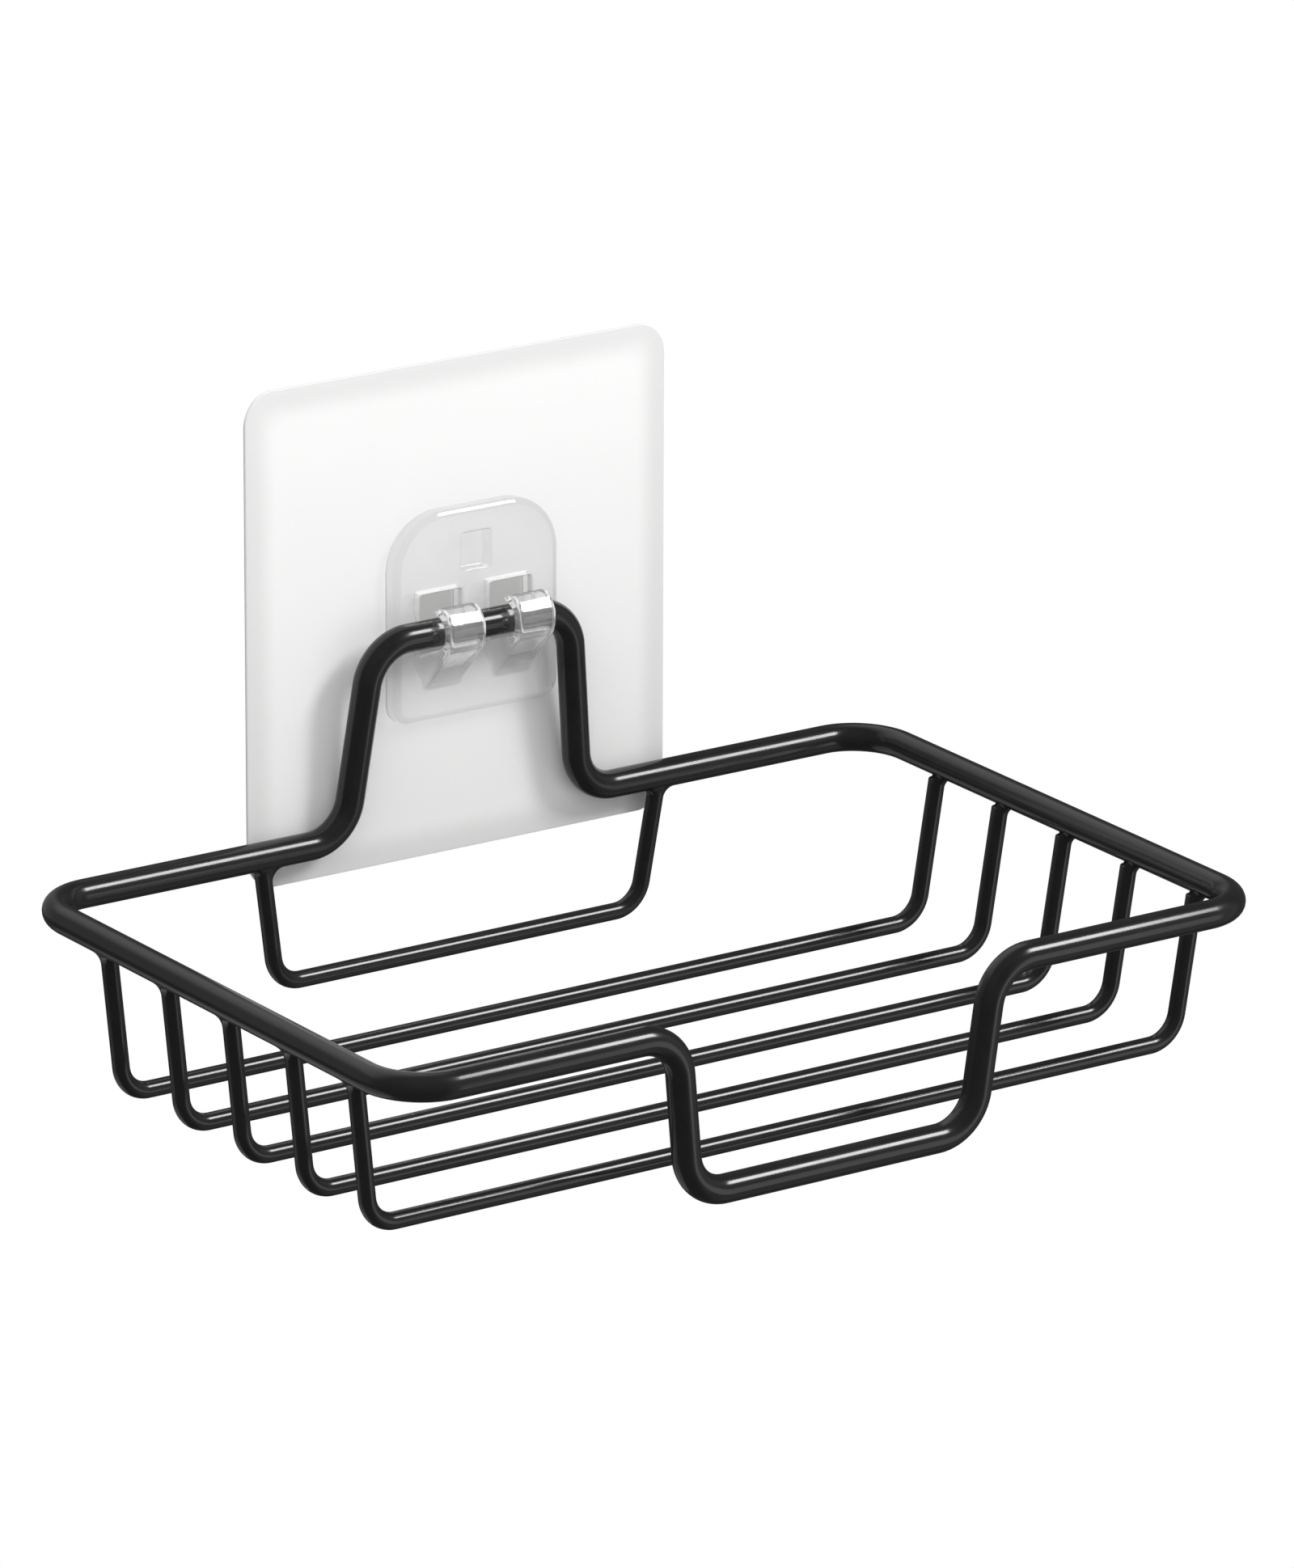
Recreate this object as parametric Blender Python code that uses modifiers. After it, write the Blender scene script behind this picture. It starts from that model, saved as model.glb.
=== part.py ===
# Wall-mounted soap holder: a wire basket that hangs by its bar in two clear fingers
# on an adhesive wall plate.
#
# Lengths are in metres, +Z is up and the wall is the plane y = 0, behind the object.
# The origin is the middle of the adhesive's back face. The basket is drawn level
# about its hanging bar, then hung from a pivot on the bar's axis, which lets it tip
# forward until its back rail leans on the plate.

import math

import bmesh
import bpy
from mathutils import Vector

# Clearances
SEAT_GAP = 0.0003            # between pieces that touch
JOINT_GAP = 0.0003           # between the two stretches of one wire

# Adhesive plate
GEL_THICKNESS = 0.0005
SHEET_SIDE = 0.070
SHEET_THICKNESS = 0.0004
SHEET_CORNER_RADIUS = 0.0045
GEL_INSET = 0.0005           # the gel stops this far inside the sheet's edge

# Clear hook moulding
HOOK_MIDDLE_X = 0.0017       # the moulding sits a little right of the sheet's middle
HOOK_WIDTH = 0.0276
HOOK_TOP = 0.0144            # above the sheet's middle
HOOK_BOTTOM = -0.0151
HOOK_THICKNESS = 0.0020
HOOK_TOP_RADIUS = 0.0083
HOOK_BOTTOM_RADIUS = 0.0026
HOOK_EDGE_ROUND = 0.0006     # round along the front edge
RECESS_WIDTH = 0.0048
RECESS_HEIGHT = 0.0052
RECESS_MIDDLE_Z = 0.0081
RECESS_DEPTH = 0.0012

# Fingers, seen from the side: forward of the moulding's face, up from the bar
FINGERS_MIDDLE_X = 0.0015    # halfway between the fingers, and the recess's middle
FINGER_PITCH = 0.0117
FINGER_WIDTH = 0.0060
FINGER_EDGE_ROUND = 0.00035
POCKET_RADIUS = 0.00245
POCKET_FORWARD = 0.00010     # pocket's centre in front of the bar's
POCKET_RISE = 0.00010        # and above it
POCKET_TIP_DEGREES = 84.0    # the lip reaches this far up round the pocket
POCKET_FLOOR_DEGREES = -65.0
FINGER_WALL = 0.00175
FINGER_HEAD_RISE = 0.0038    # top of the head above the bar's centre
BROW_RADIUS = 0.0015         # from the upright front into the slanted brow
BROW_LOW_DEGREES = 27.0
BROW_SLANT_RADIUS = 0.0080   # the brow itself is only a little round
BROW_HIGH_DEGREES = 41.0
CROWN_RADIUS = 0.0016        # from the brow over the top
CROWN_DEGREES = 90.0
FINGER_BELLY_DEGREES = -30.0 # where the round front turns into the straight root
FINGER_ROOT_TOP_DROP = 0.0041
FINGER_ROOT_BOTTOM_DROP = 0.0100
FINGER_ROOT_SINK = 0.0010    # how deep the root runs into the moulding
WINDOW_SIDE_ROOM = 0.0005    # window is this much wider than the finger, each side
WINDOW_SILL = 0.0002         # window's floor above the top of the finger's root
WINDOW_TOP = 0.0030

# Wires
RAIL_RADIUS = 0.0020
THIN_RADIUS = 0.0012

# Place of the bar's middle
BAR_RADIUS = RAIL_RADIUS
BAR_MIDDLE_X = -0.0010       # the basket stands a little left of the fingers
BAR_MIDDLE_Z = -0.0018
BAR_FORWARD_OF_HOOK = SEAT_GAP + BAR_RADIUS

# Basket, level, measured from the bar's middle
BASKET_WIDTH = 0.1408        # between the side rails' centre lines
BASKET_DEPTH = 0.0865        # between the back and front rails' centre lines
RAIL_DROP = 0.0277           # rails below the bar
HANGER_LEAN = 0.0011         # back rail nearer the wall than the bar
HANGER_HALF_BOTTOM = 0.0197
HANGER_HALF_TOP = 0.0164
RAIL_CORNER_RADIUS = 0.0080
HANGER_BEND_RADIUS = 0.0065
STUB_LENGTH = 0.0007         # straight stretch between the bar's end and the first bend
DIP_BEND_RADIUS = 0.0065
DIP_MIDDLE_X = -0.0005
DIP_HALF_TOP = 0.0262
DIP_HALF_BOTTOM = 0.0234
DIP_DEPTH = 0.0233

FLOOR_WIRES = 5
FLOOR_FIRST = 0.0170         # first floor wire in front of the back rail
FLOOR_PITCH = 0.0144
FLOOR_DEPTH = 0.0226         # floor wires below the rails
FLOOR_INBOARD = 0.0006       # wire tops inside the side rails' centre lines
FLOOR_TAPER = 0.0030         # each upright leans in by this much
THIN_BEND_RADIUS = 0.0045

BACK_HALF_TOP = 0.0335
BACK_HALF_BOTTOM = 0.0305
BACK_DEPTH = 0.0190

# Weld nuggets, where each thin wire's end flares into the rail above it
NUGGET_HEIGHT = 0.0024
NUGGET_TOP_RADIUS = 0.0019
NUGGET_TOP_SHIFT = 0.0004    # the flare leans outboard
NUGGET_BURIED = 0.0016       # length past the rail's underside before the rail is cut out

# Facets
BEND_STEPS = 8
TUBE_RESOLUTION = 4
CORNER_STEPS = 12
POCKET_STEPS = 16
BROW_STEPS = 3
CROWN_STEPS = 5
BELLY_STEPS = 5
RIM_STEPS = 3
NUGGET_SIDES = 16
CUTTER_SIDES = 32
WELD_DISTANCE = 0.000001
FLAT_DEGREES = 1.0           # faces closer to flat than this are joined

# Places that follow from the sizes above
SHEET_BACK = GEL_THICKNESS + SEAT_GAP
SHEET_FRONT = SHEET_BACK + SHEET_THICKNESS
HOOK_BACK = SHEET_FRONT + SEAT_GAP
HOOK_FRONT = HOOK_BACK + HOOK_THICKNESS
BAR_FORWARD = HOOK_FRONT + BAR_FORWARD_OF_HOOK

# The basket tips forward until the back rail is one seat gap off the sheet.
RAIL_REACH = BAR_FORWARD - (SHEET_FRONT + SEAT_GAP + RAIL_RADIUS)
RAIL_ARM = math.hypot(RAIL_DROP, HANGER_LEAN)
REST_TILT = math.asin(RAIL_REACH / RAIL_ARM) - math.atan2(HANGER_LEAN, RAIL_DROP)

HOLDER_COLLECTION = "wall_soap_holder"
TOOLS_COLLECTION = "cutting_tools"


def clear_scene():
    """Remove every object, so that the script can be run again."""
    for obj in list(bpy.data.objects):
        bpy.data.objects.remove(obj, do_unlink=True)


def new_collection(name):
    coll = bpy.data.collections.new(name)
    bpy.context.scene.collection.children.link(coll)
    return coll


def new_material(name, color, roughness, metallic=0.0, transmission=0.0):
    mat = bpy.data.materials.new(name)
    mat.use_nodes = True
    shader = mat.node_tree.nodes["Principled BSDF"]
    shader.inputs["Base Color"].default_value = (*color, 1.0)
    shader.inputs["Roughness"].default_value = roughness
    shader.inputs["Metallic"].default_value = metallic
    shader.inputs["Transmission Weight"].default_value = transmission
    return mat


def arc_points(centre, radius, start, end, steps):
    """Points of an arc in the plane, from start to end degrees."""
    points = []
    for i in range(steps + 1):
        angle = math.radians(start + (end - start) * i / steps)
        points.append((centre[0] + radius * math.cos(angle),
                       centre[1] + radius * math.sin(angle)))
    return points


def arcs_rise(arcs):
    """How far up a row of arcs ends above its start."""
    return sum(radius * (math.sin(math.radians(end)) - math.sin(math.radians(start)))
               for radius, start, end, steps in arcs)


def joined_arcs(start_point, arcs):
    """Points along arcs that follow each other without a corner."""
    points = [start_point]
    for radius, start, end, steps in arcs:
        angle = math.radians(start)
        centre = (points[-1][0] - radius * math.cos(angle),
                  points[-1][1] - radius * math.sin(angle))
        points += arc_points(centre, radius, start, end, steps)[1:]
    return points


def bend_path(corners, radii, steps):
    """Round each inner corner of an open path with an arc of its own radius."""
    path = [Vector(corners[0])]
    for i in range(1, len(corners) - 1):
        corner = Vector(corners[i])
        to_last = (Vector(corners[i - 1]) - corner).normalized()
        to_next = (Vector(corners[i + 1]) - corner).normalized()
        half = to_last.angle(to_next) / 2.0
        radius = radii[i - 1]
        tangent = radius / math.tan(half)
        centre = corner + (to_last + to_next).normalized() * (radius / math.sin(half))
        first = corner + to_last * tangent - centre
        last = corner + to_next * tangent - centre
        sweep = first.angle(last)
        for step in range(steps + 1):
            share = step / steps
            turned = (first * math.sin((1.0 - share) * sweep)
                      + last * math.sin(share * sweep)) / math.sin(sweep)
            path.append(centre + turned)
    path.append(Vector(corners[-1]))
    return path


def make_wire(name, path, radius, material, parent):
    """A round wire along a path of points, with closed ends."""
    curve = bpy.data.curves.new(name, "CURVE")
    curve.dimensions = "3D"
    curve.bevel_depth = radius
    curve.bevel_resolution = TUBE_RESOLUTION
    curve.use_fill_caps = True
    spline = curve.splines.new("POLY")
    spline.points.add(len(path) - 1)
    for point, place in zip(spline.points, path):
        point.co = (*place, 1.0)
    spline.use_smooth = True
    curve.materials.append(material)
    obj = bpy.data.objects.new(name, curve)
    HOLDER.objects.link(obj)
    obj.parent = parent
    return obj


def rounded_outline(half_width, bottom, top, bottom_radius, top_radius):
    """Outline of a plate with rounded corners, counter-clockwise from bottom left."""
    outline = []
    outline += arc_points((-half_width + bottom_radius, bottom + bottom_radius),
                          bottom_radius, 180.0, 270.0, CORNER_STEPS)
    outline += arc_points((half_width - bottom_radius, bottom + bottom_radius),
                          bottom_radius, 270.0, 360.0, CORNER_STEPS)
    outline += arc_points((half_width - top_radius, top - top_radius),
                          top_radius, 0.0, 90.0, CORNER_STEPS)
    outline += arc_points((-half_width + top_radius, top - top_radius),
                          top_radius, 90.0, 180.0, CORNER_STEPS)
    return outline


def flat_curve(name, outlines, thickness):
    """A flat outline, with any holes, given a thickness about its own plane."""
    curve = bpy.data.curves.new(name, "CURVE")
    curve.dimensions = "2D"
    curve.fill_mode = "BOTH"
    curve.extrude = thickness / 2.0
    for outline in outlines:
        spline = curve.splines.new("POLY")
        spline.points.add(len(outline) - 1)
        for point, place in zip(spline.points, outline):
            point.co = (place[0], place[1], 0.0, 1.0)
        spline.use_cyclic_u = True
    return bpy.data.objects.new(name, curve)


def make_tool(obj):
    obj.display_type = "WIRE"
    obj.hide_render = True


def curve_to_mesh(curve_obj, name, collection):
    """Turn a curve object into a joined-up mesh object in the same place."""
    collection.objects.link(curve_obj)
    bpy.context.view_layer.update()
    graph = bpy.context.evaluated_depsgraph_get()
    mesh = bpy.data.meshes.new_from_object(curve_obj.evaluated_get(graph))
    mesh.name = name
    mesh.transform(curve_obj.matrix_world)
    curve = curve_obj.data
    bpy.data.objects.remove(curve_obj, do_unlink=True)
    bpy.data.curves.remove(curve)
    bm = bmesh.new()
    bm.from_mesh(mesh)
    bmesh.ops.remove_doubles(bm, verts=bm.verts, dist=WELD_DISTANCE)
    bmesh.ops.dissolve_limit(bm, angle_limit=math.radians(FLAT_DEGREES), verts=bm.verts,
                             edges=bm.edges)
    bmesh.ops.recalc_face_normals(bm, faces=bm.faces)
    bm.to_mesh(mesh)
    bm.free()
    obj = bpy.data.objects.new(name, mesh)
    collection.objects.link(obj)
    return obj


def rounded_plate(name, half_width, bottom, top, bottom_radius, top_radius, thickness,
                  edge_round):
    """A standing plate from its back face at y = 0 to a front rim with rounded edges."""
    rings = [(0.0, 0.0)]
    for step in range(RIM_STEPS + 1):
        angle = math.pi / 2.0 * step / RIM_STEPS
        rings.append((edge_round * (1.0 - math.cos(angle)),
                      thickness - edge_round * (1.0 - math.sin(angle))))
    bm = bmesh.new()
    last = None
    for inset, forward in rings:
        outline = rounded_outline(half_width - inset, bottom + inset, top - inset,
                                  bottom_radius - inset, top_radius - inset)
        ring = [bm.verts.new((x, -forward, z)) for x, z in outline]
        if last is None:
            bm.faces.new(ring)
        else:
            for i in range(len(ring)):
                j = (i + 1) % len(ring)
                bm.faces.new((last[i], last[j], ring[j], ring[i]))
        last = ring
    bm.faces.new(last)
    bmesh.ops.recalc_face_normals(bm, faces=bm.faces)
    mesh = bpy.data.meshes.new(name)
    bm.to_mesh(mesh)
    bm.free()
    obj = bpy.data.objects.new(name, mesh)
    HOLDER.objects.link(obj)
    return obj


def box_tool(name, size, place):
    """A box that is only used to cut."""
    bm = bmesh.new()
    bmesh.ops.create_cube(bm, size=1.0)
    bmesh.ops.scale(bm, vec=size, verts=bm.verts)
    mesh = bpy.data.meshes.new(name)
    bm.to_mesh(mesh)
    bm.free()
    obj = bpy.data.objects.new(name, mesh)
    obj.location = place
    TOOLS.objects.link(obj)
    make_tool(obj)
    return obj


def add_boolean(obj, tool, operation):
    cut = obj.modifiers.new(tool.name, "BOOLEAN")
    cut.operation = operation
    cut.solver = "EXACT"
    cut.object = tool


def sunk_root(start, face_z):
    """End of the straight line that runs from start through the moulding's face at
    face_z and stops inside the moulding."""
    slope = (start[1] - face_z) / start[0]
    return (-FINGER_ROOT_SINK, face_z - slope * FINGER_ROOT_SINK)


clear_scene()
HOLDER = new_collection(HOLDER_COLLECTION)
TOOLS = new_collection(TOOLS_COLLECTION)

GEL = new_material("clear_gel", (0.90, 0.90, 0.88), 0.25, transmission=0.3)
FROSTED = new_material("frosted_plastic", (0.93, 0.94, 0.94), 0.45)
CLEAR = new_material("clear_plastic", (0.86, 0.87, 0.89), 0.06, transmission=0.9)
BLACK = new_material("black_coated_steel", (0.012, 0.011, 0.012), 0.28)

# Adhesive gel and sheet: flat outlines stood up against the wall
pad_half = SHEET_SIDE / 2.0 - GEL_INSET
pad_radius = SHEET_CORNER_RADIUS - GEL_INSET
pad = flat_curve("adhesive_pad", [rounded_outline(pad_half, -pad_half, pad_half,
                                                  pad_radius, pad_radius)], GEL_THICKNESS)
pad.rotation_euler = (math.pi / 2.0, 0.0, 0.0)
pad.location = (0.0, -GEL_THICKNESS / 2.0, 0.0)
pad = curve_to_mesh(pad, "adhesive_pad", HOLDER)
pad.data.materials.append(GEL)

sheet_half = SHEET_SIDE / 2.0
sheet = flat_curve("backing_sheet", [rounded_outline(sheet_half, -sheet_half, sheet_half,
                                                     SHEET_CORNER_RADIUS,
                                                     SHEET_CORNER_RADIUS)],
                   SHEET_THICKNESS)
sheet.rotation_euler = (math.pi / 2.0, 0.0, 0.0)
sheet.location = (0.0, -(SHEET_BACK + SHEET_THICKNESS / 2.0), 0.0)
sheet = curve_to_mesh(sheet, "backing_sheet", HOLDER)
sheet.data.materials.append(FROSTED)

# Hook moulding: an arched plate whose front rim is rounded
hook = rounded_plate("hook_plate", HOOK_WIDTH / 2.0, HOOK_BOTTOM, HOOK_TOP,
                     HOOK_BOTTOM_RADIUS, HOOK_TOP_RADIUS, HOOK_THICKNESS, HOOK_EDGE_ROUND)
hook.location = (HOOK_MIDDLE_X, -HOOK_BACK, 0.0)
hook.data.materials.append(CLEAR)

# A window through the moulding behind each finger, and a square recess above them
finger_places = (-FINGER_PITCH / 2.0, FINGER_PITCH / 2.0)
window_width = FINGER_WIDTH + 2.0 * WINDOW_SIDE_ROOM
window_bottom = BAR_MIDDLE_Z - FINGER_ROOT_TOP_DROP + WINDOW_SILL
for side, place in zip(("left", "right"), finger_places):
    window = box_tool("window_tool_" + side,
                      (window_width, HOOK_THICKNESS * 2.0, WINDOW_TOP - window_bottom),
                      (FINGERS_MIDDLE_X + place, -(HOOK_BACK + HOOK_THICKNESS / 2.0),
                       (WINDOW_TOP + window_bottom) / 2.0))
    add_boolean(hook, window, "DIFFERENCE")
recess = box_tool("recess_tool", (RECESS_WIDTH, RECESS_DEPTH * 2.0, RECESS_HEIGHT),
                  (FINGERS_MIDDLE_X, -HOOK_FRONT, RECESS_MIDDLE_Z))
add_boolean(hook, recess, "DIFFERENCE")

# Finger, drawn from the side: pocket, lip, head, belly and root
pocket = (BAR_FORWARD_OF_HOOK + POCKET_FORWARD, POCKET_RISE)
front = pocket[0] + POCKET_RADIUS + FINGER_WALL
head = ((BROW_RADIUS, 0.0, BROW_LOW_DEGREES, BROW_STEPS),
        (BROW_SLANT_RADIUS, BROW_LOW_DEGREES, BROW_HIGH_DEGREES, BROW_STEPS),
        (CROWN_RADIUS, BROW_HIGH_DEGREES, CROWN_DEGREES, CROWN_STEPS))
head_start = (front, FINGER_HEAD_RISE - arcs_rise(head))
profile = arc_points(pocket, POCKET_RADIUS + FINGER_WALL, FINGER_BELLY_DEGREES, 0.0,
                     BELLY_STEPS)
profile += joined_arcs(head_start, head)
profile += arc_points(pocket, POCKET_RADIUS, POCKET_TIP_DEGREES, POCKET_FLOOR_DEGREES,
                      POCKET_STEPS)
profile += [sunk_root(profile[-1], -FINGER_ROOT_TOP_DROP),
            sunk_root(profile[0], -FINGER_ROOT_BOTTOM_DROP)]

for side, place in zip(("left", "right"), finger_places):
    finger = flat_curve("finger_" + side, [profile], FINGER_WIDTH)
    finger.rotation_euler = (math.pi / 2.0, 0.0, -math.pi / 2.0)
    finger.location = (FINGERS_MIDDLE_X + place, -HOOK_FRONT, BAR_MIDDLE_Z)
    finger = curve_to_mesh(finger, "finger_" + side, TOOLS)
    edge_round = finger.modifiers.new("edge_round", "BEVEL")
    edge_round.width = FINGER_EDGE_ROUND
    edge_round.segments = 2
    edge_round.limit_method = "ANGLE"
    edge_round.angle_limit = math.radians(50.0)
    make_tool(finger)
    add_boolean(hook, finger, "UNION")

# Pivot on the bar's axis: the basket's level drawing hangs from it, tipped to rest
pivot = bpy.data.objects.new("basket_pivot", None)
pivot.location = (BAR_MIDDLE_X, -BAR_FORWARD, BAR_MIDDLE_Z)
pivot.rotation_euler = (REST_TILT, 0.0, 0.0)
HOLDER.objects.link(pivot)

# Corners of the frame wire, from the bar's right end round the rails to its left end
half_width = BASKET_WIDTH / 2.0
back_y = HANGER_LEAN
front_y = back_y - BASKET_DEPTH
rail_z = -RAIL_DROP
dip_z = rail_z - DIP_DEPTH
hanger_slope = Vector((HANGER_HALF_BOTTOM - HANGER_HALF_TOP, back_y, rail_z))
hanger_half_angle = Vector((-1.0, 0.0, 0.0)).angle(hanger_slope) / 2.0
bend_start = HANGER_HALF_TOP - HANGER_BEND_RADIUS / math.tan(hanger_half_angle)
stub_start = bend_start - STUB_LENGTH
bar_half = stub_start - JOINT_GAP

frame_corners = [
    (stub_start, 0.0, 0.0),
    (HANGER_HALF_TOP, 0.0, 0.0),
    (HANGER_HALF_BOTTOM, back_y, rail_z),
    (half_width, back_y, rail_z),
    (half_width, front_y, rail_z),
    (DIP_MIDDLE_X + DIP_HALF_TOP, front_y, rail_z),
    (DIP_MIDDLE_X + DIP_HALF_BOTTOM, front_y, dip_z),
    (DIP_MIDDLE_X - DIP_HALF_BOTTOM, front_y, dip_z),
    (DIP_MIDDLE_X - DIP_HALF_TOP, front_y, rail_z),
    (-half_width, front_y, rail_z),
    (-half_width, back_y, rail_z),
    (-HANGER_HALF_BOTTOM, back_y, rail_z),
    (-HANGER_HALF_TOP, 0.0, 0.0),
    (-stub_start, 0.0, 0.0),
]
frame_radii = [HANGER_BEND_RADIUS, HANGER_BEND_RADIUS, RAIL_CORNER_RADIUS,
               RAIL_CORNER_RADIUS, DIP_BEND_RADIUS, DIP_BEND_RADIUS, DIP_BEND_RADIUS,
               DIP_BEND_RADIUS, RAIL_CORNER_RADIUS, RAIL_CORNER_RADIUS,
               HANGER_BEND_RADIUS, HANGER_BEND_RADIUS]
frame_path = bend_path(frame_corners, frame_radii, BEND_STEPS)
make_wire("frame_wire", frame_path, RAIL_RADIUS, BLACK, pivot)
make_wire("hanger_bar", [(-bar_half, 0.0, 0.0), (bar_half, 0.0, 0.0)], BAR_RADIUS, BLACK,
          pivot)


def make_nugget(name, top, foot, outboard, rail_centre, rail_turn):
    """A flared weld nugget from a wire's end up to the rail, hollowed to fit the rail.

    The wire runs from foot to top. The flare leans outboard. The rail passes through
    rail_centre, and rail_turn lays a standing cylinder along it.
    """
    axis = (Vector(top) - Vector(foot)).normalized()
    underside = Vector(top) - axis * (RAIL_RADIUS / axis.z)
    bottom = underside - axis * NUGGET_HEIGHT
    height = NUGGET_HEIGHT + NUGGET_BURIED
    bm = bmesh.new()
    bmesh.ops.create_cone(bm, cap_ends=True, segments=NUGGET_SIDES, radius1=THIN_RADIUS,
                          radius2=NUGGET_TOP_RADIUS, depth=height)
    turn = Vector((0.0, 0.0, 1.0)).rotation_difference(axis).to_matrix()
    for vert in bm.verts:
        is_top = vert.co.z > 0.0
        vert.co = bottom + turn @ vert.co + axis * (height / 2.0)
        if is_top:
            vert.co += Vector(outboard) * NUGGET_TOP_SHIFT
    mesh = bpy.data.meshes.new(name)
    bm.to_mesh(mesh)
    bm.free()
    nugget = bpy.data.objects.new(name, mesh)
    HOLDER.objects.link(nugget)
    nugget.parent = pivot
    mesh.materials.append(BLACK)
    for face in mesh.polygons:
        face.use_smooth = True

    bm = bmesh.new()
    bmesh.ops.create_cone(bm, cap_ends=True, segments=CUTTER_SIDES,
                          radius1=RAIL_RADIUS + SEAT_GAP, radius2=RAIL_RADIUS + SEAT_GAP,
                          depth=NUGGET_TOP_RADIUS * 4.0)
    tool_mesh = bpy.data.meshes.new(name + "_tool")
    bm.to_mesh(tool_mesh)
    bm.free()
    tool = bpy.data.objects.new(name + "_tool", tool_mesh)
    TOOLS.objects.link(tool)
    tool.parent = pivot
    tool.location = rail_centre
    tool.rotation_euler = rail_turn
    make_tool(tool)
    add_boolean(nugget, tool, "DIFFERENCE")
    return bottom - axis * JOINT_GAP


# Floor wires, back to front, each with a nugget under the left and the right rail
top_half = half_width - FLOOR_INBOARD
bottom_half = top_half - FLOOR_TAPER
floor_z = rail_z - FLOOR_DEPTH
for number in range(1, FLOOR_WIRES + 1):
    y = back_y - FLOOR_FIRST - (number - 1) * FLOOR_PITCH
    ends = {}
    for side, sign in (("left", -1.0), ("right", 1.0)):
        ends[side] = make_nugget("weld_%s_%d" % (side, number),
                                 (sign * top_half, y, rail_z),
                                 (sign * bottom_half, y, floor_z), (sign, 0.0, 0.0),
                                 (sign * half_width, y, rail_z), (math.pi / 2.0, 0.0, 0.0))
    corners = [ends["left"], (-bottom_half, y, floor_z), (bottom_half, y, floor_z),
               ends["right"]]
    path = bend_path(corners, [THIN_BEND_RADIUS, THIN_BEND_RADIUS], BEND_STEPS)
    make_wire("floor_wire_%d" % number, path, THIN_RADIUS, BLACK, pivot)

# Back wire, hung under the back rail
back_z = rail_z - BACK_DEPTH
ends = {}
for side, sign in (("left", -1.0), ("right", 1.0)):
    ends[side] = make_nugget("weld_back_" + side,
                             (sign * BACK_HALF_TOP, back_y, rail_z),
                             (sign * BACK_HALF_BOTTOM, back_y, back_z), (sign, 0.0, 0.0),
                             (sign * BACK_HALF_TOP, back_y, rail_z), (0.0, math.pi / 2.0, 0.0))
corners = [ends["left"], (-BACK_HALF_BOTTOM, back_y, back_z),
           (BACK_HALF_BOTTOM, back_y, back_z), ends["right"]]
path = bend_path(corners, [THIN_BEND_RADIUS, THIN_BEND_RADIUS], BEND_STEPS)
make_wire("back_wire", path, THIN_RADIUS, BLACK, pivot)

bpy.context.view_layer.update()
print("bar axis", BAR_MIDDLE_X, -BAR_FORWARD, BAR_MIDDLE_Z)
print("rest tilt in degrees", math.degrees(REST_TILT))
print("bar half length", bar_half)
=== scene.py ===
# %% [markdown]
# # A wall-mounted soap holder
# The real object has two halves. A wall unit is stuck to a tile: sticky gel, a frosted
# sheet and a clear moulded hook with two fingers. A basket of bent and welded black
# wires hangs in those fingers by a straight bar, so that it can be swung up or slid.
#
# Each cell below first says what a piece is on the real object, how it could be made in
# Blender, and why one way was chosen. Lengths are in metres and +Z is up. The wall is the
# plane y = 0, and the object stands in front of it, towards -Y.

# %% Load the fixed frame
import math

import bmesh
import bpy
from mathutils import Matrix, Vector


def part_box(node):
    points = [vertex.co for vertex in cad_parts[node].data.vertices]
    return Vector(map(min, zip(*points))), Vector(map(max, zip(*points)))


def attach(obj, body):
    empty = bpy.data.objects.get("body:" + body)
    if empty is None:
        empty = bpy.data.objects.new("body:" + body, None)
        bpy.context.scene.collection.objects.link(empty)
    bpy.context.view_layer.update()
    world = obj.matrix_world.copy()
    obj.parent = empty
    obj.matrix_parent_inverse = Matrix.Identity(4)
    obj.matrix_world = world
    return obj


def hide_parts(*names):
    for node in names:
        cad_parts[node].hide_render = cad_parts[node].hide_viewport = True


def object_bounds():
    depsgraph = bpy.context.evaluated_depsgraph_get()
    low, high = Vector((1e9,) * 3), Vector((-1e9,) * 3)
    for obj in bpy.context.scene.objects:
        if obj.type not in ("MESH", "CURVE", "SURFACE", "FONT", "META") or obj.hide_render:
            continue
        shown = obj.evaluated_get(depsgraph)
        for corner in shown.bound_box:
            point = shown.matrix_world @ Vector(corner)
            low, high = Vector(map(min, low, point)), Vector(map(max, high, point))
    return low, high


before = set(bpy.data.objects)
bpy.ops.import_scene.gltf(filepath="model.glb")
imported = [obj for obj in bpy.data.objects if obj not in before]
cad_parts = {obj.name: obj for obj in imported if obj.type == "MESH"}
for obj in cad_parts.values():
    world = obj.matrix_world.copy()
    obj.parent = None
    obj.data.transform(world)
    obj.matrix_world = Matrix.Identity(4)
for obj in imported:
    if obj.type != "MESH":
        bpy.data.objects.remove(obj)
cad_low, cad_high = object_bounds()
print("frame box in mm:", [round(v * 1000.0, 1) for v in (cad_high - cad_low)])

# %% [markdown]
# ## The object's own axes
# The basket is drawn level about the middle of its hanging bar, and then tipped about
# the bar until its back rail leans on the sheet. The frame already knows where the bar
# is, so its place and thickness are read from there and not typed again.

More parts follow.
